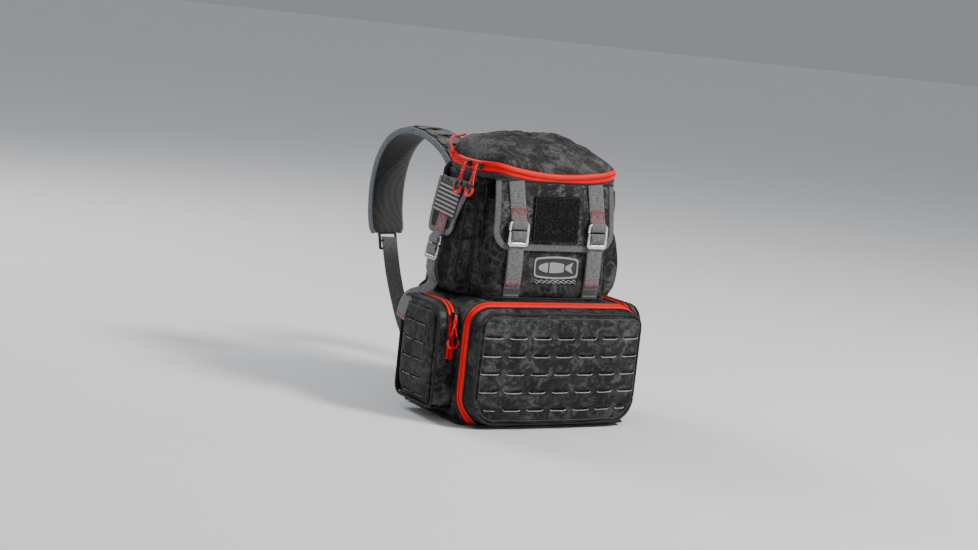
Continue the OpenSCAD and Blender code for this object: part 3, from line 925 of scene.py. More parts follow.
def lid():
    """Stuffed dome of the lid, both halves of its zip, and the hinge cloth."""
    zip_band("lid_zip_lower_half", [lid_row(z, g) for z, g in ((-7.2, 0.6), (-3.5, 1.5), (-0.5, 1.6))],
             "pack", ("lid_zip_body_tape",))
    zip_band("lid_zip_upper_half", [lid_row(z, g) for z, g in ((0.5, 1.6), (3.2, 1.4), (6.2, 0.5),
                                                               (7.6, -2.4))], "lid", ("lid_zip_lid_tape",))
    tube("lid_zip_line", lid_row(0, 1.9), 0.8, "pack", RED_LINE, slot="red_zip")
    plan = lid_plan(-0.3)
    back = [(x, 86.5) for x in np.linspace(106, -106, 40)]
    ring = np.vstack([plan, [(UP_X - 1, 80)], back, [(-UP_X + 1, 80)]])
    centre = arr([0, 28])
    z0 = zip_height(ring[:, 0], ring[:, 1]) + 6.6
    rows = []
    for t in np.concatenate([np.linspace(0, 0.16, 5), np.linspace(0.2, 1.0, 22)]):
        rho = (1 - t) if t < 1 else 0.0
        xy = centre + (ring - centre) * rho
        front = np.clip((56 - xy[:, 1]) / 92, 0, 1)
        right = np.clip(xy[:, 0] / 104, 0, 1)
        top = 406.0 - 27 * front ** 1.2 - 5.0 * np.abs(xy[:, 0] / 104) ** 2.6 - 9.0 * right ** 2
        top = top + 3.5 * np.exp(-((xy[:, 1] + 8 + 0.08 * xy[:, 0]) / 9) ** 2) * np.exp(-((xy[:, 0] + 5)
                / 75) ** 4)
        lift = (1 - rho ** 7) ** 0.55
        z = z0 * (1 - lift) + top * lift
        cap = LID_Z + np.maximum(90.5 - xy[:, 1], 0) * 1.68 + 4
        z = np.minimum(z, cap - 4 * np.exp(-np.abs(cap - z) / 8))
        rows.append(np.stack([xy[:, 0], xy[:, 1], z], 1))
    P = arr(rows[:-1])
    depth = np.minimum(1, np.linspace(0, 3.2, len(P)))[:, None]
    calm = np.clip((84 - P[:, :, 1]) / 20, 0, 1)
    fold = 2.6 * ripple(P, 21.0, (0.6, 1, 1.5), 58) + 4.6 * creases(P, 33.0, (0.42, 0.9, 1.2), 62) \
        + 2.0 * creases(P, 51.0, (1.2, 0.5, 1.0), 40)
    P = P + grid_normals(P, (0, 28, 340)) * (fold * depth * calm)[..., None]
    k, m = P.shape[:2]
    faces = ring_faces(k, m) + [tuple((k - 1) * m + j for j in range(m))]
    build("lid_dome", P.reshape(-1, 3), faces, "lid", FABRIC, ("lid_shell",),
          modifiers=[thick(2.5), sub(1)], centre=(0, 30, 340))
    rows = [np.stack([x, y, z], 1) for x, y, z in
            ((np.linspace(-104, 104, 30), np.full(30, 88.5), np.full(30, LID_Z) - 10),
             (np.linspace(-104, 104, 30), np.full(30, 90.5), np.full(30, LID_Z)),
             (np.linspace(-104, 104, 30), np.full(30, 88.4), np.full(30, LID_Z + 8)),
             (np.linspace(-103, 103, 30), np.full(30, 85.8), np.full(30, LID_Z + 14)))]
    hinge = sheet_grid("lid_hinge_fabric", arr(rows), None, FABRIC, 1.5)
    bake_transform(hinge)


upper_compartment()
lid()

# ---------------------------------------------------------------- front pouch, flap and buckles


def pouch_plan(z):
    """One level of the front pouch: left side, front and right side."""
    k = (z - 176) / 136
    f, w = -46.0 + 8.0 * k, 96.0 - 4.0 * k
    pts = [(-w - 1, 0), (-w, -12), (-w + 1, -f * -0.62)]
    for a in np.radians(np.linspace(195, 262, 5)):
        pts.append((-w + 15 + 15 * math.cos(a), f + 14 + 14 * math.sin(a)))
    pts += [(x, f - 1.2 * (1 - (x / 80) ** 2)) for x in np.linspace(-74, 0, 8)]
    pts += [(-x, y) for x, y in reversed(pts) if x < -0.1]
    return resample([(x, y, z) for x, y in pts], count=52)


def front_pouch():
    """Open pouch under the flap, with its generic badge."""
    zs = np.concatenate([[174.5, 176.5], np.linspace(181, 311, 26)])
    P = arr([pouch_plan(z) for z in zs])
    tuck = np.clip((182 - P[..., 2]) / 8, 0, 1)
    P[..., 1] = P[..., 1] * (1 - 0.16 * tuck)
    edge = np.clip((P[..., 2] - 178) / 10, 0, 1)
    side = np.clip((np.abs(P[..., 0]) - 78) / 14, 0, 1)
    move = 0.8 * ripple(P, 14.0, (1, 1, 0.8), 40) + 3.2 * side * creases(P, 6.0, (1, 0.8, 0.6), 36)
    P = P + grid_normals(P, (0, -15, 245)) * (move * edge)[..., None]
    sheet_grid("front_pouch_shell", P, "pack", FABRIC, 2.2, nodes=("front_pouch",))
    floor = [(x, y, 175.5) for x, y, _ in pouch_plan(176)]
    verts = floor + [(0, -1, 175.5)]
    faces = [(i, i + 1, len(floor)) for i in range(len(floor) - 1)]
    build("front_pouch_floor", verts, faces, "pack", FABRIC, modifiers=[thick(2)])
    piping("front_pouch_hem", [p + arr([0, 0, 0.5]) for p in pouch_plan(311)], 1.7, "pack")
    low = [p * arr([1.004, 1.012, 1]) for p in pouch_plan(178)]
    piping("front_pouch_seam", low, 1.2, "pack")
    zc, yc, xc = 222, -45.0, 6.0
    face = upright(xc, yc, zc, 86.7)
    outer = badge_ring(37, 13, 3.2)
    plate("badge_frame", [outer, badge_ring(34.6, 10.8, 2.6)], face, 1.5, "pack", BADGE,
          ("badge",), 0.3)
    plate("badge_field", [badge_ring(35.4, 11.6, 2.8)], face @ Matrix.Translation((0, 0, -0.0004)), 0.8,
          "pack", BADGE_DARK, (), 0.15)
    for k, ring in enumerate(fish_rings()):
        plate(f"badge_fish_{k}", [ring], face @ Matrix.Translation((0, 0, 0.0003)), 1.3, "pack", BADGE,
              (), 0.25)
    for k in range(2):
        line = [(xc - 35 + t * 70, -46.6, 203.6 - 2.6 * k + 1.0 * math.sin(t * 48 + k * 1.4))
                for t in np.linspace(0, 1, 90)]
        tube(f"badge_ripple_{k}", line, 0.55, "pack", BADGE, step=1.2, slot="badge_rubber", smooth=False)


def badge_ring(a, b, bow):
    """A rounded rectangle with bowed long edges."""
    ring = round_rect(2 * a, 2 * b, 4.5, step=3)
    ring[:, 1] += np.sign(ring[:, 1]) * bow * (1 - (ring[:, 0] / a) ** 2) * np.clip(np.abs(ring[:, 1]) / b,
            0, 1)
    return ring


def fish_rings():
    """A generic fish in three chunks: head, body and tail."""
    def top(x):
        return 7.6 * math.sqrt(max(0.0, 1 - ((x + 5) / 25) ** 2))

    rings = []
    for a, b in ((-29.5, -14.0), (-11.5, 13.0)):
        xs = np.linspace(a, b, 9)
        rings.append(arr([(x, -top(x)) for x in xs] + [(x, top(x)) for x in reversed(xs)]))
    rings.append(arr([(15.5, -2.6), (28.5, -8.2), (25.0, 0), (28.5, 8.2), (15.5, 2.6)]))
    return rings


def flap_y(x, z):
    """Front surface of the flap."""
    k = np.clip((z - 246) / 91, 0, 1)
    return -44.6 + 8.0 * k ** 2.4 - 1.2 * (1 - (x / 104) ** 2)


def flap_outline(shrink=0.0):
    """From the top left corner down, along the bottom and up the right side."""
    w, b, r = 103.0 - shrink, 246.0 + shrink, 28.0 - shrink
    pts = [(-w, z) for z in np.linspace(341, b + r, 12)]
    pts += [(-w + r + r * math.cos(a), b + r + r * math.sin(a))
            for a in np.radians(np.linspace(188, 262, 8))]
    pts += [(x, b) for x in np.linspace(-w + r, 0, 12)]
    return arr(pts + [(-x * flap_trim(z), z) for x, z in reversed(pts) if x < -0.1])


def flap_trim(z):
    """The flap's right edge leans in towards its top."""
    return 0.955 - 0.055 * np.clip((z - 246) / 91, 0, 1)


def front_flap():
    """Bound flap with its loop patch and the folded strap ends."""
    ring = flap_outline(1.0)
    rows = []
    for t in np.linspace(0, 1, 20):
        z = 341 - (341 - 247) * t
        inside = ring[:len(ring) // 2 + 1]
        w = np.interp(-z, -inside[:, 1], -inside[:, 0]) if z > 274 else 102 - 27 + math.sqrt(max(0,
                27 ** 2 - (274 - z) ** 2))
        xs = np.linspace(-w, w * flap_trim(z), 44)
        y = flap_y(xs, np.full(44, z))
        rows.append(np.stack([xs, y, np.full(44, z)], 1))
    P = arr(rows)
    P[..., 1] -= 0.9 * ripple(P, 8.0, (1, 1, 1), 34) * np.clip((341 - P[..., 2]) / 20, 0, 1) + 0.2
    # painted light: the flap sheet uses the lit copy of the nylon
    sheet_grid("front_flap_sheet", P, "front_flap", FABRIC_PAINTED_LIT, 2.2, nodes=("front_flap",))
    inner = flap_outline(4.2)
    path = [(x, flap_y(x, z) - 0.7, z) for x, z in inner]
    path = resample(path, step=3.0)
    t = tangents(path)
    sweep("front_flap_binding", path, np.cross(t, arr([0, 1, 0])), flat_profile(9.2, 2.6), "front_flap",
          BINDING, nodes=("flap_binding",))
    seam = resample([(x, flap_y(x, z) - 2.1, z) for x, z in flap_outline(8.0)], step=2)
    beads("front_flap_stitch", dashes(seam, 3.6), 0.28, "front_flap", DARK_THREAD, 4)
    cx, cz, w, h = -3.0, 291.0, 76.0, 65.0
    face = upright(cx, flap_y(0, 291) - 1.8, cz, 86.5)
    plate("front_loop_patch", [round_rect(w, h, 2.5)], face, 2.2, "front_flap", PILE,
          ("loop_patch",), 0.5)
    ring = [(cx + x, flap_y(0, 291) - 3.0 + 0.061 * z, cz + z) for x, z in round_rect(w - 3, h - 3, 2)]
    beads("front_patch_stitch", dashes(ring + ring[:1], 3.4), 0.3, "front_flap", DARK_THREAD,
          4)
    top = [(x, -36.4, 342) for x in np.linspace(-103, 93, 30)]
    piping("front_flap_top_roll", top, 2.2, "pack")
    for sx, side in SIDES:
        x = sx * 66
        lean = -5.0
        line = [(x + lean, flap_y(x, 341) - 1.6, 342), (x + lean * 0.5, flap_y(x, 320) - 1.7, 320),
                (x, flap_y(x, 300) - 1.9, 300), (x, -48.2, 291), (x, -52.2, 286.5), (x, -54.0, 282),
                (x, -53.8, 278.2), (x, -51.4, 276.4), (x, -48.6, 279), (x, -47.4, 285), (x, -47.0, 292)]
        strap(f"{side}_flap_strap", line, (1, 0, 0), 25, 1.5, "front_flap",
              nodes=("flap_straps",) if sx < 0 else (), step=2.0)
        cross_box(f"{side}_flap_box_stitch", lambda u, v: (x + u,
                                                           flap_y(x, v + 296) - 3.5 - 0.006
                                                           * max(0, -v) ** 2, v + 298.5), 20, 14,
                  "front_flap")
        bar = [(x - 12.0, -50.2, 289.4), (x + 12.0, -50.2, 289.4)]
        bar_tack(f"{side}_flap_bar_tack", bar, "front_flap", 1.6, 0.75)


def bar_tack(name, ends, body, pitch=1.7, r=0.7):
    """A dense bar of red stitches between two points."""
    return beads(name, dashes(ends, pitch, 0.8), r, body, RED_THREAD, 5)


def cross_box(name, at, w, h, body):
    """A sewn box with a cross in it; at(u, v) gives the point on the strap."""
    c = [(-w / 2, -h / 2), (w / 2, -h / 2), (w / 2, h / 2), (-w / 2, h / 2)]
    segs = []
    for a, b in ((0, 1), (1, 2), (2, 3), (3, 0), (0, 2), (1, 3)):
        line = [at(c[a][0] + (c[b][0] - c[a][0]) * t, c[a][1] + (c[b][1] - c[a][1]) * t)
                for t in np.linspace(0, 1, 8)]
        segs += dashes(line, 2.6, 0.74)
    return beads(name, segs, 0.58, body, RED_THREAD, 5)


def hook_outline(w=33.0):
    """Hook buckle seen from the front: hook bar on top with its mouth on the left."""
    h = w / 2

    def arc(cx, cy, r, a0, a1, n=6):
        return [(cx + r * math.cos(a), cy + r * math.sin(a)) for a in np.radians(np.linspace(a0, a1, n))]

    outer = arc(h - 5, -13.5, 5, -90, 0) + arc(h - 5.5, 11, 5.5, 0, 90)
    outer += arc(-h + 3, 13.0, 3.5, 90, 180, 5) + [(-h - 0.5, 8.0)] + arc(-h + 1.4, 5.4, 1.9, 180, 360, 7)
    outer += [(-h + 3.6, 8.6), (h - 5.6, 8.8)] + arc(h - 6, 6.8, 2, 80, 0, 4) + arc(h - 6, 2.8, 2, 0, -90,
            4)
    outer += [(-h + 4.4, 0.8), (-h + 3.6, 2.2), (-h + 2, 2.6), (-h + 0.4, 1.6)] + arc(-h + 5, -13.5, 5, 180,
            270)
    slot = [(x, z - 8.6) for x, z in round_rect(w - 8.6, 8.4, 1.6, step=4, n_arc=4)]
    return [arr(outer), arr(slot)]


def hook_buckle(name, place, body, nodes):
    """The plate of a hook buckle with rounded edges."""
    plate(name, hook_outline(), place, 3.4, body, SILVER, nodes, 1.1, 4)


def front_buckles():
    """Hook buckles of the front flap, and the straps that hold them."""
    for sx, side in SIDES:
        x = sx * 66
        place = upright(x, -51.3, 270)
        body = f"{side}_buckle"
        hook_buckle(f"{side}_hook_buckle", place, body, (f"{side}_buckle",))
        path = [(-47.4, 181), (-47.6, 205), (-47.6, 230), (-47.0, 250), (-46.5, 256), (-47, 266),
                (-49.4, 271.6), (-52.6, 272.6), (-54.6, 270), (-54.5, 266), (-52.4, 261.4), (-49.2, 257.6),
                (-48.9, 251), (-49.8, 235), (-50.2, 215), (-50.0, 196.5)]
        web = strap(f"{side}_front_webbing", [(x, y, z) for y, z in path], (1, 0, 0), 24.6, 1.4, None,
                    nodes=(f"{side}_front_strap",), step=2.0)
        tack = [(x - 12.0, -51.2, 199), (x + 12.0, -51.2, 199)]
        tack = bar_tack(f"{side}_front_tail_tack", tack, None)
        for piece in (web, tack):
            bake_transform(piece)
        # painted shade: the anchor is drawn in the dark webbing because it sits in shade below the strap's
        # tail
        anchor = [(x, -45.6, 176.5), (x, -47.2, 182), (x, -47.6, 192)]
        strap(f"{side}_front_anchor", anchor, (1, 0, 0), 27, 1.6, "pack", WEB_DARK)


front_pouch()
front_flap()
front_buckles()

# ---------------------------------------------------------------- lower side pockets

POCKET_Y, POCKET_Z, POCKET_W, POCKET_H = 17.5, 91.5, 109.0, 147.0


def pocket_ring(step=4.0):
    """Points (y, z) and outward directions round a side pocket, from its back over the top to the front."""
    ring = round_rect(POCKET_W, POCKET_H, [20, 27, 14, 16], step=step)
    t = np.roll(ring, -1, 0) - np.roll(ring, 1, 0)
    n = np.stack([t[:, 1], -t[:, 0]], 1)
    return ring, n / np.linalg.norm(n, axis=1, keepdims=True)


RING, RING_OUT = pocket_ring()


def pocket_rows(sx, stations, part=slice(None)):
    """Grid [ring point, station] from (x, offset) stations."""
    ring, out = RING[part], RING_OUT[part]
    P = np.zeros((len(ring), len(stations), 3))
    for k, (x, g) in enumerate(stations):
        q = ring + out * g
        P[:, k] = np.stack([np.full(len(q), sx * x), POCKET_Y + q[:, 0], POCKET_Z + q[:, 1]], 1)
    return P


ARCH = slice(int(np.argmax((RING[:, 1] > 60) & (RING[:, 0] < 44))),
             int(len(RING) - np.argmax((RING[::-1, 0] < -50) & (RING[::-1, 1] > -4))))


def pocket_face(sx, u, v):
    """Outer surface of a side pocket at (u, v) from its centre."""
    a, b = np.abs(u) / (POCKET_W / 2), np.abs(v) / (POCKET_H / 2)
    crown = np.clip(1 - a ** 3, 0, 1) * np.clip(1 - b ** 3, 0, 1)
    back = np.clip((u - 18) / 36, 0, 1) ** 2
    low = np.clip((-v - 35) / 38, 0, 1) ** 2
    x = 169.0 + 6.5 * crown - 7.0 * back - 6.0 * low
    p = np.stack([u, 0 * u, v], -1)
    x = x + crown * (1.2 * ripple(p, 12.0 + sx, (1, 1, 0.8), 40) + 1.4
                     * creases(p, 4.0 + sx, (0.6, 1, 1.2), 55))
    return np.stack([sx * x, POCKET_Y + u, POCKET_Z + v], -1)


def side_pocket(sx, side):
    """Lower side pocket: fixed frame, tipping door, webbing grid, zip and corner pleats."""
    door, middle = f"{side}_pocket_door", (sx * 150, POCKET_Y, POCKET_Z)
    P = pocket_rows(sx, [(136, -1.5), (140, 0.4), (145, 1.2), (149.6, 0.4)])
    sheet_grid(f"{side}_pocket_wall", P, "pack", FABRIC, 2.0, wrap=True, nodes=(f"{side}_pocket_frame",),
               centre=middle)
    floor = [(sx * x, y, 19.0) for x, y in ((137, -35), (168, -33), (170, 10), (168, 68), (137, 70))]
    build(f"{side}_pocket_floor", floor, [(0, 1, 2, 3, 4)], "pack", FABRIC, modifiers=[thick(1.6, 0)])
    P = pocket_rows(sx, [(150.8, 0.2), (154.5, 1.3), (159, 1.9), (164, 1.6), (167.5, 0.4), (168.8, -1.6)])
    out = np.stack([0 * RING_OUT[:, 0], RING_OUT[:, 0], RING_OUT[:, 1]], 1)[:, None]
    mid = arr([0, 0.5, 1, 1, 0.4, 0])[None, :]
    P = P + out * (mid * (1.0 * ripple(P, 3.0 + sx, (1, 1, 1), 26) + 1.6
                          * creases(P, 8.0, (0.4, 1, 1.3), 34)))[..., None]
    P[..., 2] = np.maximum(P[..., 2], 22.6)
    sheet_grid(f"{side}_pocket_gusset", P, door, FABRIC, 2.0, wrap=True, centre=middle)
    edge = pocket_rows(sx, [(168.9, -0.9)])[:, 0]
    tube(f"{side}_pocket_piping", edge, 1.8, door, BAND, closed=True, slot="pack_fabric", step=3)
    _, _, U, V = face_map(POCKET_W - 3, POCKET_H - 3, 17, 26, 34)
    P = pocket_face(sx, U, V)
    P[..., 2] = np.maximum(P[..., 2], 22.6)
    sheet_grid(f"{side}_pocket_face", P, door, FABRIC, 2.4, nodes=(f"{side}_pocket_door",), centre=middle)
    slots = [(u, 43.5 - k * 25.4, w, 3.2) for u, w in ((-16.5, 25.4), (14.5, 25.4), (41.0, 16.0))
             for k in range(5)]
    cuts_x = [s[0] + d for s in slots for d in (-s[2] / 2, s[2] / 2)]
    cuts_y = [s[1] + d for s in slots for d in (-1.6, 1.6)]
    xs, ys, U, V = face_map(100, 130, 14, 26, 34, cuts_x, cuts_y)

    def surface(u, v):
        p = pocket_face(sx, u + 1.5, v - 3)
        p[..., 0] += sx * 1.3
        return p

    # painted shade: the side pocket's laminate uses the darkened copy of the laminate
    slotted(f"{side}_pocket_laminate", xs, ys, U, V, surface, slots, door, LAMINATE_PAINTED_SHADE,
            1.1, (f"{side}_pocket_trim",), centre=middle)
    lips = []
    for su, sv, w, _ in slots:
        line = surface(np.linspace(su - w / 2, su + w / 2, 8), np.full(8, sv - 1.7))
        line[:, 0] += sx * 0.4
        lips.append(line)
    join_strips(f"{side}_pocket_slot_edges", lips, 0.9, 0.8, door, CUT_EDGE)
    names = dict(nodes=("side_zip_body_tapes",)) if sx < 0 else {}
    sheet_grid(f"{side}_zip_body_half", pocket_rows(sx, [(144.6, 1.9), (147, 2.4), (149.8, 1.9)], ARCH),
               "pack", RED_TAPE, 1.2, slot="red_zip", centre=middle, **names)
    sheet_grid(f"{side}_zip_door_half", pocket_rows(sx, [(150.5, 1.9), (153, 2.6), (155.6, 2.2)], ARCH),
               door, RED_TAPE, 1.2, slot="red_zip", centre=middle)
    tube(f"{side}_zip_line", pocket_rows(sx, [(150.1, 2.5)], ARCH)[:, 0], 0.7, "pack", RED_LINE,
         slot="red_zip")
    for name, x, g, body in (("inner", 143.6, 1.5, "pack"), ("outer", 157.0, 2.2, door)):
        piping(f"{side}_zip_{name}_welt", pocket_rows(sx, [(x, g)], ARCH)[:, 0], 0.9, body)
    low = np.where((RING[:, 1] < -6) & (RING[:, 0] < -20))[0]
    rear = np.where((RING[:, 1] < -6) & (RING[:, 0] > 20))[0]
    for name, part in (("front", low), ("rear", rear)):
        P = pocket_rows(sx, [(x, g) for x, g in zip(np.linspace(145.5, 157, 9),
                                                    (1.2, 2.6, 1.6, 2.9, 1.7, 3.0, 1.8, 2.8, 1.6))], part)
        P[..., 2] = np.maximum(P[..., 2], 20.4)
        fold = sheet_grid(f"{side}_pocket_pleat_{name}", P, None, FABRIC, 1.2, centre=middle)
        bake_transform(fold)


# ---------------------------------------------------------------- side pouches, flaps and their buckles


def corner_flare(sx):
    """How far the stuffed front corner of a side pouch, and the flap over it, stand out."""
    return 17.0 if sx > 0 else 4.0


def side_frame(sx, out, y, z):
    """A point in a side flap's leaning frame."""
    a = math.radians(10)
    out = out + corner_flare(sx) * np.clip((26 - y) / 24, 0, 1) ** 1.3 * np.clip(-z / 70, 0, 1)
    return (sx * (119 + out * math.cos(a) - z * math.sin(a)), y, 334 + z * math.cos(a) + out * math.sin(a))


def side_frame_matrix(sx, out, y, z, turn=0.0):
    """Axes: X along the pack, Y up the flap, Z outward."""
    a = math.radians(10)
    up = Vector((-sx * math.sin(a), 0, math.cos(a)))
    outward = Vector((sx * math.cos(a), 0, math.sin(a)))
    along = up.cross(outward)
    m = Matrix((along, up, outward)).transposed().to_4x4()
    m.translation = Vector(side_frame(sx, out, y, z)) * MM
    return m @ Matrix.Rotation(turn, 4, "Z")


def flap_ring(shrink=0.0):
    """Side flap's outline as (y, z), from its front top corner round the bottom to the back."""
    pts = [(-2 + shrink, -3), (6 + shrink, -30), (15 + shrink, -56)]
    pts += [(33 + (17 - shrink) * math.cos(a), -66 + (17 - shrink) * math.sin(a))
            for a in np.radians([195, 215, 235, 255])]
    pts += [(45, -83 + shrink), (62, -83 + shrink)]
    pts += [(72 + (14 - shrink) * math.cos(a), -69 + (14 - shrink) * math.sin(a))
            for a in np.radians([285, 310, 340])]
    return arr(pts + [(88 - shrink, -50), (88 - shrink, -3)])


def side_upper(sx, side):
    """Upper side pouch with its flap, patch, buckle and strap down to the pocket."""
    zs = np.linspace(176, 306, 20)
    rows = []
    for z in zs:
        k = (z - 176) / 130
        w = 134.5 - 12 * k + 1.5 * math.sin(k * math.pi)
        full = corner_flare(sx) * math.sin(math.pi * (0.2 + 0.8 * k))
        plan = [(109, 0.5), (116, 1.5 - 0.1 * full), (w - 6 + 0.8 * full, 4 - 0.25 * full),
                (w - 1 + full, 12 - 0.1 * full), (w + 0.8 + 0.12 * full, 30), (w + 1, 46), (w + 1, 58),
                (w, 75), (w - 5, 84), (118, 86), (110, 86.5)]
        rows.append(resample([(sx * x, y, z) for x, y in plan], count=34))
    P = arr(rows)
    tuck = np.clip((183 - P[..., 2]) / 8, 0, 1)
    P[..., 0] = P[..., 0] + (sx * 112 - P[..., 0]) * 0.22 * tuck
    folds = 2.0 * ripple(P, 6.0 + sx, (1, 1, 0.6), 34) + 5.0 * creases(P, 2.0 + sx, (1, 1, 0.35), 36)
    P = P + grid_normals(P, (0, 43, 240)) * folds[..., None] * 0.8
    middle = (sx * 100, 43, 240)
    sheet_grid(f"{side}_pouch_shell", P, "pack", FABRIC, 2.2, nodes=(f"{side}_side_pouch",), centre=middle)
    build(f"{side}_pouch_floor", P[0], [tuple(range(len(P[0])))], "pack", FABRIC, modifiers=[thick(1.5, 0)])
    piping(f"{side}_pouch_hem", P[-1] + arr([0, 0, 0.5]), 1.5, "pack")
    front = [(sx * (134 - 11 * k), 3.0 - 1.5 * math.sin(k * 3.1), 180 + 124 * k)
             for k in np.linspace(0, 1, 14)]
    piping(f"{side}_pouch_piping", front, 1.5, "pack")
    ring = flap_ring(1.0)
    centre = arr([45, -40])
    rows = []
    loop = resample([(y, z, 0) for y, z in ring] + [(66, -1.5, 0), (45, -1, 0), (20, -1.5, 0)], step=4,
                    closed=True)[:, :2]
    for t in np.linspace(0, 1, 9)[:-1]:
        q = centre + (loop - centre) * (1 - t)
        lift = 0.8 + 2.2 * (1 - (1 - t) ** 3)
        p = np.stack([np.full(len(q), lift), q[:, 0], q[:, 1]], 1)
        p[:, 0] += 0.9 * ripple(p, 17.0 + sx, size=30) * min(1, 3 * t)
        rows.append([side_frame(sx, *v) for v in p])
    verts = [v for row in rows for v in row] + [side_frame(sx, 3.0, *centre)]
    m, k = len(loop), len(rows)
    faces = ring_faces(k, m)
    faces += [((k - 1) * m + j, (k - 1) * m + (j + 1) % m, k * m) for j in range(m)]
    flap = f"{side}_flap"
    # painted light: the side flap sheet uses the lit copy of the nylon
    build(f"{side}_flap_sheet", verts, faces, flap, FABRIC_PAINTED_LIT, nodes=(f"{side}_flap",),
          modifiers=[thick(2.2), sub(1)], centre=(sx * 100, 45, 290))
    path = resample([side_frame(sx, 1.2, y, z) for y, z in flap_ring(4.0)], step=3)
    t = tangents(path)
    outward = arr(side_frame(sx, 1, 0, 0)) - arr(side_frame(sx, 0, 0, 0))
    sweep(f"{side}_flap_binding", path, np.cross(t, outward), flat_profile(9.5, 2.8), flap, BINDING)
    beads(f"{side}_flap_stitch", dashes([side_frame(sx, 2.9, y, z) for y, z in flap_ring(7.6)], 3.6), 0.28,
          flap, DARK_THREAD, 4)
    turn = math.radians(5) * sx
    place = side_frame_matrix(sx, 3.7, 48, -34, turn)
    plate(f"{side}_patch", [round_rect(64, 44, 2)], place, 1.4, flap, BADGE_DARK,
          (f"{side}_flap_trim",), 0.3)
    for k in range(7):
        at = place @ Matrix.Translation((0, (-18 + 6 * k) * MM, 0.0007))
        plate(f"{side}_patch_stripe_{k}", [round_rect(60, 2.7, 0.5)], at, 0.9, flap, PATCH_GREY,
              (), 0.2, 1)
    line = [(3.2, 48, -50), (3.4, 48, -60), (3.8, 48, -72), (4.8, 48, -82), (8.6, 48, -86.5),
            (10.2, 48, -91), (9.8, 48, -94.6), (7.0, 48, -96.6), (4.6, 48, -94), (3.6, 48, -88),
            (3.4, 48, -80)]
    strap(f"{side}_side_flap_strap", [side_frame(sx, *p) for p in line], (0, 1, 0), 25, 1.5, flap, step=2)
    cross_box(f"{side}_flap_box_stitch", lambda u, v: side_frame(sx, 4.6, 48 + u, -64 + v), 19, 20, flap)
    tack = [side_frame(sx, 5.4, 48 + u, -78) for u in (-11.5, 11.5)]
    bar_tack(f"{side}_flap_bar_tack", tack, flap, 1.6, 0.75)
    buckle = f"{side}_side_buckle"
    place = side_frame_matrix(sx, 6.8, 48, -103)
    if sx > 0:
        place = place @ Matrix.Rotation(math.pi, 4, "Y")
    hook_buckle(f"{side}_side_hook_buckle", place @ Matrix.Rotation(math.pi, 4, "Y"), buckle, (buckle,))
    path = [(-10.2, -149), (-5, -140), (0.4, -128), (1.8, -118), (2.2, -106), (4.6, -101.2), (8.2, -100.4),
            (10.0, -103), (10.0, -107), (8.0, -112), (4.6, -115.5), (4.2, -122), (2.6, -134), (-3, -144),
            (-7.6, -150)]
    strap(f"{side}_side_webbing", [side_frame(sx, o, 48, z) for o, z in path], (0, 1, 0), 24.6, 1.4, buckle,
          nodes=(f"{side}_side_strap",), step=2)
    tail = [(136.4, 48, 187), (141, 50, 177), (149, 53, 170.5), (160, 56, 166.8), (168, 58, 161.5),
            (173, 60, 152), (175.4, 62, 140), (176.4, 64, 128)]
    path = resample([(sx * x, y, z) for x, y, z in tail], step=2.5)
    tail = sweep(f"{side}_side_tail", path, (0, 1, 0.25), flat_profile(24.4, 1.5), None, WEB)
    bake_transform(tail)
    tack = [path[-3] + arr([sx * 1.2, d, d * 0.25]) for d in (-11.5, 11.5)]
    bar_tack(f"{side}_side_tail_tack", tack, f"{side}_pocket_door")


for SX, SIDE in SIDES:
    side_pocket(SX, SIDE)
    side_upper(SX, SIDE)

# ---------------------------------------------------------------- zip sliders and cord pulls


def frame_at(x, y, z, turn, mirror=False):
    """Placement of a slider, turned about the vertical; mirror swaps left and right."""
    m = Matrix.Translation((x * MM, y * MM, z * MM)) @ Matrix.Rotation(math.radians(turn), 4, "Z")
    return Matrix.Diagonal((-1, 1, 1, 1)) @ m if mirror else m


def moved(m, points):
    """Points in millimetres, carried by a matrix in metres."""
    return arr([arr(m @ Vector(arr(p) * MM)) / MM for p in points])


def zip_slider(name, m, body, nodes):
    """Slider along local Z, standing out along -Y, with a wire lug for its pull."""

    def level(y):
        return m @ Matrix.Translation((0, y * MM, 0)) @ Matrix.Rotation(math.radians(90), 4, "X")

    shape = [(-3.2, -6), (3.2, -6), (4.5, -2), (4.5, 3.5), (3.0, 6), (-3.0, 6), (-4.5, 3.5), (-4.5, -2)]
    plate(f"{name}_base", [arr(shape)], level(-1.2), 1.5, body, BLACK_METAL, nodes, 0.45, 2)
    plate(f"{name}_top", [arr(shape) * 0.92], level(-3.1), 1.4, body, BLACK_METAL, (), 0.5,
          2)
    neck = moved(m, [(0, -1.0, 2), (0, -3.2, 2)])
    tube(f"{name}_neck", neck, 1.9, body, BLACK_METAL, step=1.0, slot="slider_metal")
    lug = moved(m, [(0, -3.2, -4.8), (0, -5.4, -4.4), (0, -6.3, -2.5), (0, -6.5, 0), (0, -6.3, 2.5),
                    (0, -5.4, 4.4), (0, -3.2, 4.8)])
    tube(f"{name}_lug", lug, 0.95, body, BLACK_METAL, step=1.0, slot="slider_metal")


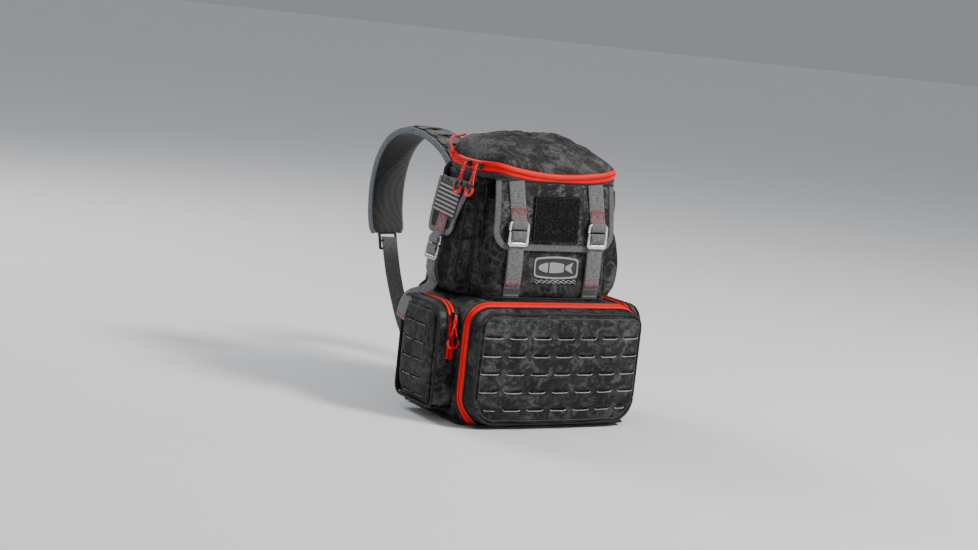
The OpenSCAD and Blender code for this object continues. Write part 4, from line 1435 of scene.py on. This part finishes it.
def cord_pull(name, m, body, nodes):
    """Two cord legs from the lug, a sleeve, then a loop held open by an angular moulded end."""
    for k, sx in (("a", -1), ("b", 1)):
        leg = [(sx * 0.4, -6.9, 1.2), (sx * 1.0, -8.0, -1.5), (sx * 1.6, -8.2, -6), (sx * 1.8, -8.0, -13),
               (sx * 2.4, -7.8, -19), (sx * 5.0, -7.8, -26), (sx * 7.6, -7.8, -33)]
        tube(f"{name}_leg_{k}", moved(m, leg), 1.35, body, RED_CORD, step=1.8, slot="red_cord",
             nodes=nodes if k == "a" else ())
        boot = [(sx * 5.4, -7.8, -27), (sx * 6.6, -7.8, -30), (sx * 7.8, -7.8, -33.4)]
        tube(f"{name}_boot_{k}", moved(m, boot), 1.9, body, BLACK_METAL, step=1.5, slot="red_cord")
    top = [(-1.4, -6.9, 1.2), (0, -6.6, 2.3), (1.4, -6.9, 1.2)]
    tube(f"{name}_bight", moved(m, top), 1.3, body, RED_CORD, step=1.0, slot="red_cord")
    sleeve = [(0, -8.1, -9.5), (0, -8.1, -12), (0, -8.0, -15.5)]
    tube(f"{name}_sleeve", moved(m, sleeve), 3.3, body, RED_PLASTIC, step=1.5, slot="red_cord", flat=0.62,
         side=arr(m.to_3x3() @ Vector((1, 0, 0))))
    hexed = [(-7.9, -32.0), (-8.6, -34.5), (-8.4, -38.2), (-4.6, -43.0), (4.6, -43.0), (8.4, -38.2),
             (8.6, -34.5), (7.9, -32.0)]
    line = []
    for (a, b), (c, d) in zip(hexed[:-1], hexed[1:]):
        line += [(a + (c - a) * t, -7.8, b + (d - b) * t) for t in (0.06, 0.5, 0.94)]
    tube(f"{name}_end", moved(m, line), 2.25, body, RED_PLASTIC, slot="red_cord", flat=0.8, smooth=False,
         side=arr(m.to_3x3() @ Vector((0, 1, 0))))


def all_pulls():
    """Every zip slider with its pull, and the cord loop at the end of the lid zip."""
    spots = [("front", frame_at(139.2, -61, 98, 90), "front_slider", "front_pull"),
             ("left", frame_at(-150, -38.6, 150, 0), "left_slider", "left_pull"),
             ("right", frame_at(-150, -38.6, 150, 0, True), "right_slider", "right_pull")]
    for name, m, slide, pull in spots:
        zip_slider(f"{name}_zip_slider", m, slide, (slide,))
        cord_pull(f"{name}_cord_pull", m, pull, (pull,))
    for name, x, y in (("rear", -113.4, 22), ("front", -112.6, -9)):
        m = frame_at(x, y, LID_Z, -90)
        zip_slider(f"{name}_lid_zip_slider", m @ Matrix.Rotation(math.radians(90), 4, "Y"),
                   f"{name}_lid_slider", (f"{name}_lid_slider",))
        hang = m @ Matrix.Translation((0, -7.8 * MM, 0)) @ Matrix.Rotation(math.radians(-13), 4, "X") \
            @ Matrix.Translation((0, 7.8 * MM, 0))
        cord_pull(f"{name}_lid_cord_pull", hang, f"{name}_lid_pull", (f"{name}_lid_pull",))
    loop = [(-108, 64, 366), (-115, 70, 370), (-116, 78, 380), (-108, 84, 389), (-98, 85, 390),
            (-90, 80, 393)]
    tube("rear_zip_end_loop", loop, 1.7, "lid", RED_CORD, slot="red_cord")
    tab = [(-112.5, 76, 359), (-113.5, 76, 366), (-112, 76, 374)]
    strap("rear_zip_end_tab", tab, (0, 1, 0), 9, 1.6, "lid", RED_TAPE)


# ---------------------------------------------------------------- back, shoulder straps and handle


def cushion(name, w, h, r, x, z, y0, y1, body, nodes, groove=30.0):
    """A back pad with pressed grooves across it."""
    _, _, U, V = face_map(w, h, r, max(12, int(w / 4)), max(12, int(h / 4)))
    a, b = np.abs(U) / (w / 2), np.abs(V) / (h / 2)
    lift = np.clip((1 - a ** 5) * (1 - b ** 5), 0, 1) ** 0.45
    cut = np.exp(-((np.mod(V + groove / 2, groove) - groove / 2) / 3.0) ** 2) * np.clip(1 - a ** 6, 0, 1)
    Y = y0 + (y1 - y0) * lift * (1 - 0.35 * cut)
    P = np.stack([x + U, Y, z + V], -1)
    ob = sheet_grid(name, P, body, MESH, 2.0, slot="mesh_padding", nodes=nodes, centre=(x, -200, z))
    ring = [(x + u, y0 + 1.2, z + v) for u, v in round_rect(w, h, r)]
    tube(f"{name}_edge", ring, 1.8, body, WEB_DARK, closed=True, slot="pack_fabric")


def back():
    """Back panel with its binding, mesh and three pads."""
    outline = [(-138, 3), (138, 3), (138, 162), (133, 171), (124, 178), (118, 262), (112, 342), (107, 349),
               (100, 351), (-100, 351), (-107, 349), (-112, 342), (-118, 262), (-124, 178), (-133, 171),
               (-138, 162)]
    place = upright(0, 91, 0)
    plate("back_panel_sheet", [arr(outline)], place, 8, "pack", LINING, ("back_panel",), 2.2,
          3)
    edge = arr(outline + outline[:1])
    run = run_length(edge)
    at = np.linspace(0, run[-1], 360)[:-1]
    edge = np.stack([np.interp(at, run, edge[:, 0]), 91 + 0 * at, np.interp(at, run, edge[:, 1])], 1)
    tube("back_panel_binding", edge, 2.6, "pack", WEB_DARK, closed=True, slot="pack_fabric", side=(0, 1, 0),
         smooth=False)
    _, _, U, V = face_map(230, 150, 20, 40, 26)
    P = np.stack([U, 95.4 + 0.5 * ripple(np.stack([U, 0 * U, V], -1), 4.0, size=40), V + 90], -1)
    sheet_grid("back_lower_mesh", P, "pack", MESH, 1.0, slot="mesh_padding", centre=(0, -200, 90))
    for sx, side in SIDES:
        cushion(f"{side}_back_cushion", 58, 180, 16, sx * 50, 196, 95.0, 106.5, "pack",
                (f"{side}_back_pad",))
    cushion("lumbar_cushion", 190, 70, 18, 0, 58, 95.0, 108.5, "pack", ("lumbar_pad",), 36.0)


def carried(sx, x0, turn, points):
    """Points of a frame that stands at x0 on the back and is turned outwards."""
    c, s = math.cos(math.radians(turn)), math.sin(math.radians(turn))
    return arr([(sx * -(x0 + x * c - (y - 95) * s), 95 + x * s + (y - 95) * c, z) for x, y, z in points])


PAD_PATH = [(107.5, 318), (115, 338), (130, 357), (160, 374), (198, 383), (232, 378), (258, 360),
            (275, 330), (282, 292), (280, 252), (272, 220)]


def shoulder(sx, side):
    """Padded shoulder strap with webbing rows, ladder lock and lower webbing."""
    body = f"{side}_shoulder_strap"
    path = resample([(0, y, z) for y, z in PAD_PATH], step=5)
    t = tangents(path)
    nrm = np.stack([0 * t[:, 0], -t[:, 2], t[:, 1]], 1)

    def at(x, k, out):
        return carried(sx, -62, 13, [(x, *(path[k] + nrm[k] * out)[1:])])[0]

    n = len(path)
    ends = np.clip(np.minimum(np.arange(n), np.arange(n)[::-1] * 1.4) / 3.0, 0, 1)
    half = 31 * (0.86 + 0.14 * np.sqrt(ends))
    ring = []
    prof = [(-1, 0), (-0.97, 0.62), (-0.86, 0.92), (-0.5, 1.0), (0, 1.04), (0.5, 1.0), (0.86, 0.92),
            (0.97, 0.62), (1, 0), (0.97, -0.62), (0.86, -0.92), (0.4, -1.0), (-0.4, -1.0), (-0.86, -0.92),
            (-0.97, -0.62)]
    for k in range(n):
        ring.append([at(half[k] * a, k, 4.6 * b * (0.55 + 0.45 * min(1.0, ends[k]))) for a, b in prof])
    P = arr(ring)
    m = len(prof)
    faces = ring_faces(n, m) + [tuple(range(m))[::-1], tuple(range((n - 1) * m, n * m))]
    pad = build(f"{side}_shoulder_cushion", P.reshape(-1, 3), faces, body, MESH,
                (f"{side}_shoulder_pad",), centre=P[n // 2].mean(0))
    for e in (-1, 1):
        line = [at(e * (half[k] - 0.6), k, 1.2) for k in range(n)]
        normal = arr([arr(at(0, k, 1)) - arr(at(0, k, 0)) for k in range(n)])
        sweep(f"{side}_shoulder_edge_{'inner' if e > 0 else 'outer'}", resample(line, count=n), normal,
              flat_profile(9.4, 3.4), body, STRAP_EDGE)
    cross = arr(at(1, 0, 0)) - arr(at(0, 0, 0))
    for off in (-12.5, 12.5):
        line = [at(off, k, 5.6) for k in range(1, n - 1)]
        sweep(f"{side}_shoulder_rail_{'a' if off < 0 else 'b'}", resample(line, step=4), cross,
              flat_profile(15, 1.4), body, WEB_DARK)
    rows = []
    for k in range(4, n - 4, 5):
        row = [at(v, k, 6.8 + (0.9 if abs(v) < 16 else -0.8)) for v in np.linspace(-25, 25, 9)]
        tang = arr(at(0, k + 1, 6)) - arr(at(0, k, 6))
        sweep(f"{side}_shoulder_row_{k:02d}", row, tang, flat_profile(15, 1.5), body, WEB_ROW)
        for v in (-14, 14):
            a, b = arr(at(v, k, 8.2)), unit(tang) * 5
            rows += dashes([a - b, a + b], 2.2, 0.8)
    beads(f"{side}_shoulder_tacks", rows, 0.5, body, RED_THREAD, 4)
    end = n - 1
    lock = [at(v, end, 0) for v in (-16, 16)]
    tube(f"{side}_ladder_bar_upper", lock, 2.4, body, BLACK_METAL, slot="slider_metal", step=4)
    down = unit(arr(at(0, end, 0)) - arr(at(0, end - 1, 0)))
    for v in (-16, 16):
        a = arr(at(v, end, 0)) - down * 1.5
        tube(f"{side}_ladder_side_{'a' if v < 0 else 'b'}", [a, a + down * 14, a + down * 26], 2.2, body,
             BLACK_METAL, slot="slider_metal", step=4)
    for k, d in enumerate((12, 24)):
        bar = [arr(at(v, end, 0)) + down * d for v in (-16, 16)]
        tube(f"{side}_ladder_bar_{k}", bar, 1.9, body, BLACK_METAL, slot="slider_metal", step=4)
    lower = [(0, 266, 214), (0, 260, 206), (0, 230, 158), (0, 182, 106), (0, 140, 76), (0, 112, 61),
             (0, 96.5, 55.5)]
    path = resample(carried(sx, -116, -5.4, lower), step=3)
    c = carried(sx, -116, -5.4, [(0, 95, 0), (1, 95, 0)])
    sweep(f"{side}_lower_webbing", path, c[1] - c[0], flat_profile(25, 1.6), "pack", WEB,
          (f"{side}_shoulder_webbing",))


def haul():
    """Haul handle with a rolled grip."""
    m = Matrix.Translation((0, 0.0968, 0.320)) @ Matrix.Rotation(math.radians(-46), 4, "X")
    for sx, side in SIDES:
        leg = moved(m, [(sx * 17, 0, 0.5), (sx * 17, -0.4, 10), (sx * 17.5, 0.2, 22), (sx * 19, 0.2, 33)])
        sweep(f"handle_leg_{side}", resample(leg, step=3), (1, 0, 0), flat_profile(18, 2.2), "haul_handle",
              WEB, ("haul_handle",) if sx < 0 else ())
    grip = moved(m, [(x, 0, 34 + 0.9 * math.cos(x / 28 * 1.5)) for x in np.linspace(-29, 29, 14)])
    tube("handle_grip", grip, 6.2, "haul_handle", WEB_DARK, step=3)
    for k, x in enumerate((-27.5, 27.5)):
        ring = moved(m, [(x + d, 0, 34.3) for d in (-1.5, 0, 1.5)])
        tube(f"handle_band_{k}", ring, 6.7, "haul_handle", BINDING, step=1)
    tacks = []
    for sx in (-1, 1):
        tacks += dashes(moved(m, [(sx * 17 - 8, -1.6, 6), (sx * 17 + 8, -1.6, 6)]), 1.8, 0.8)
    beads("handle_tacks", tacks, 0.6, "haul_handle", RED_THREAD)


all_pulls()
back()
for SX, SIDE in SIDES:
    shoulder(SX, SIDE)
haul()
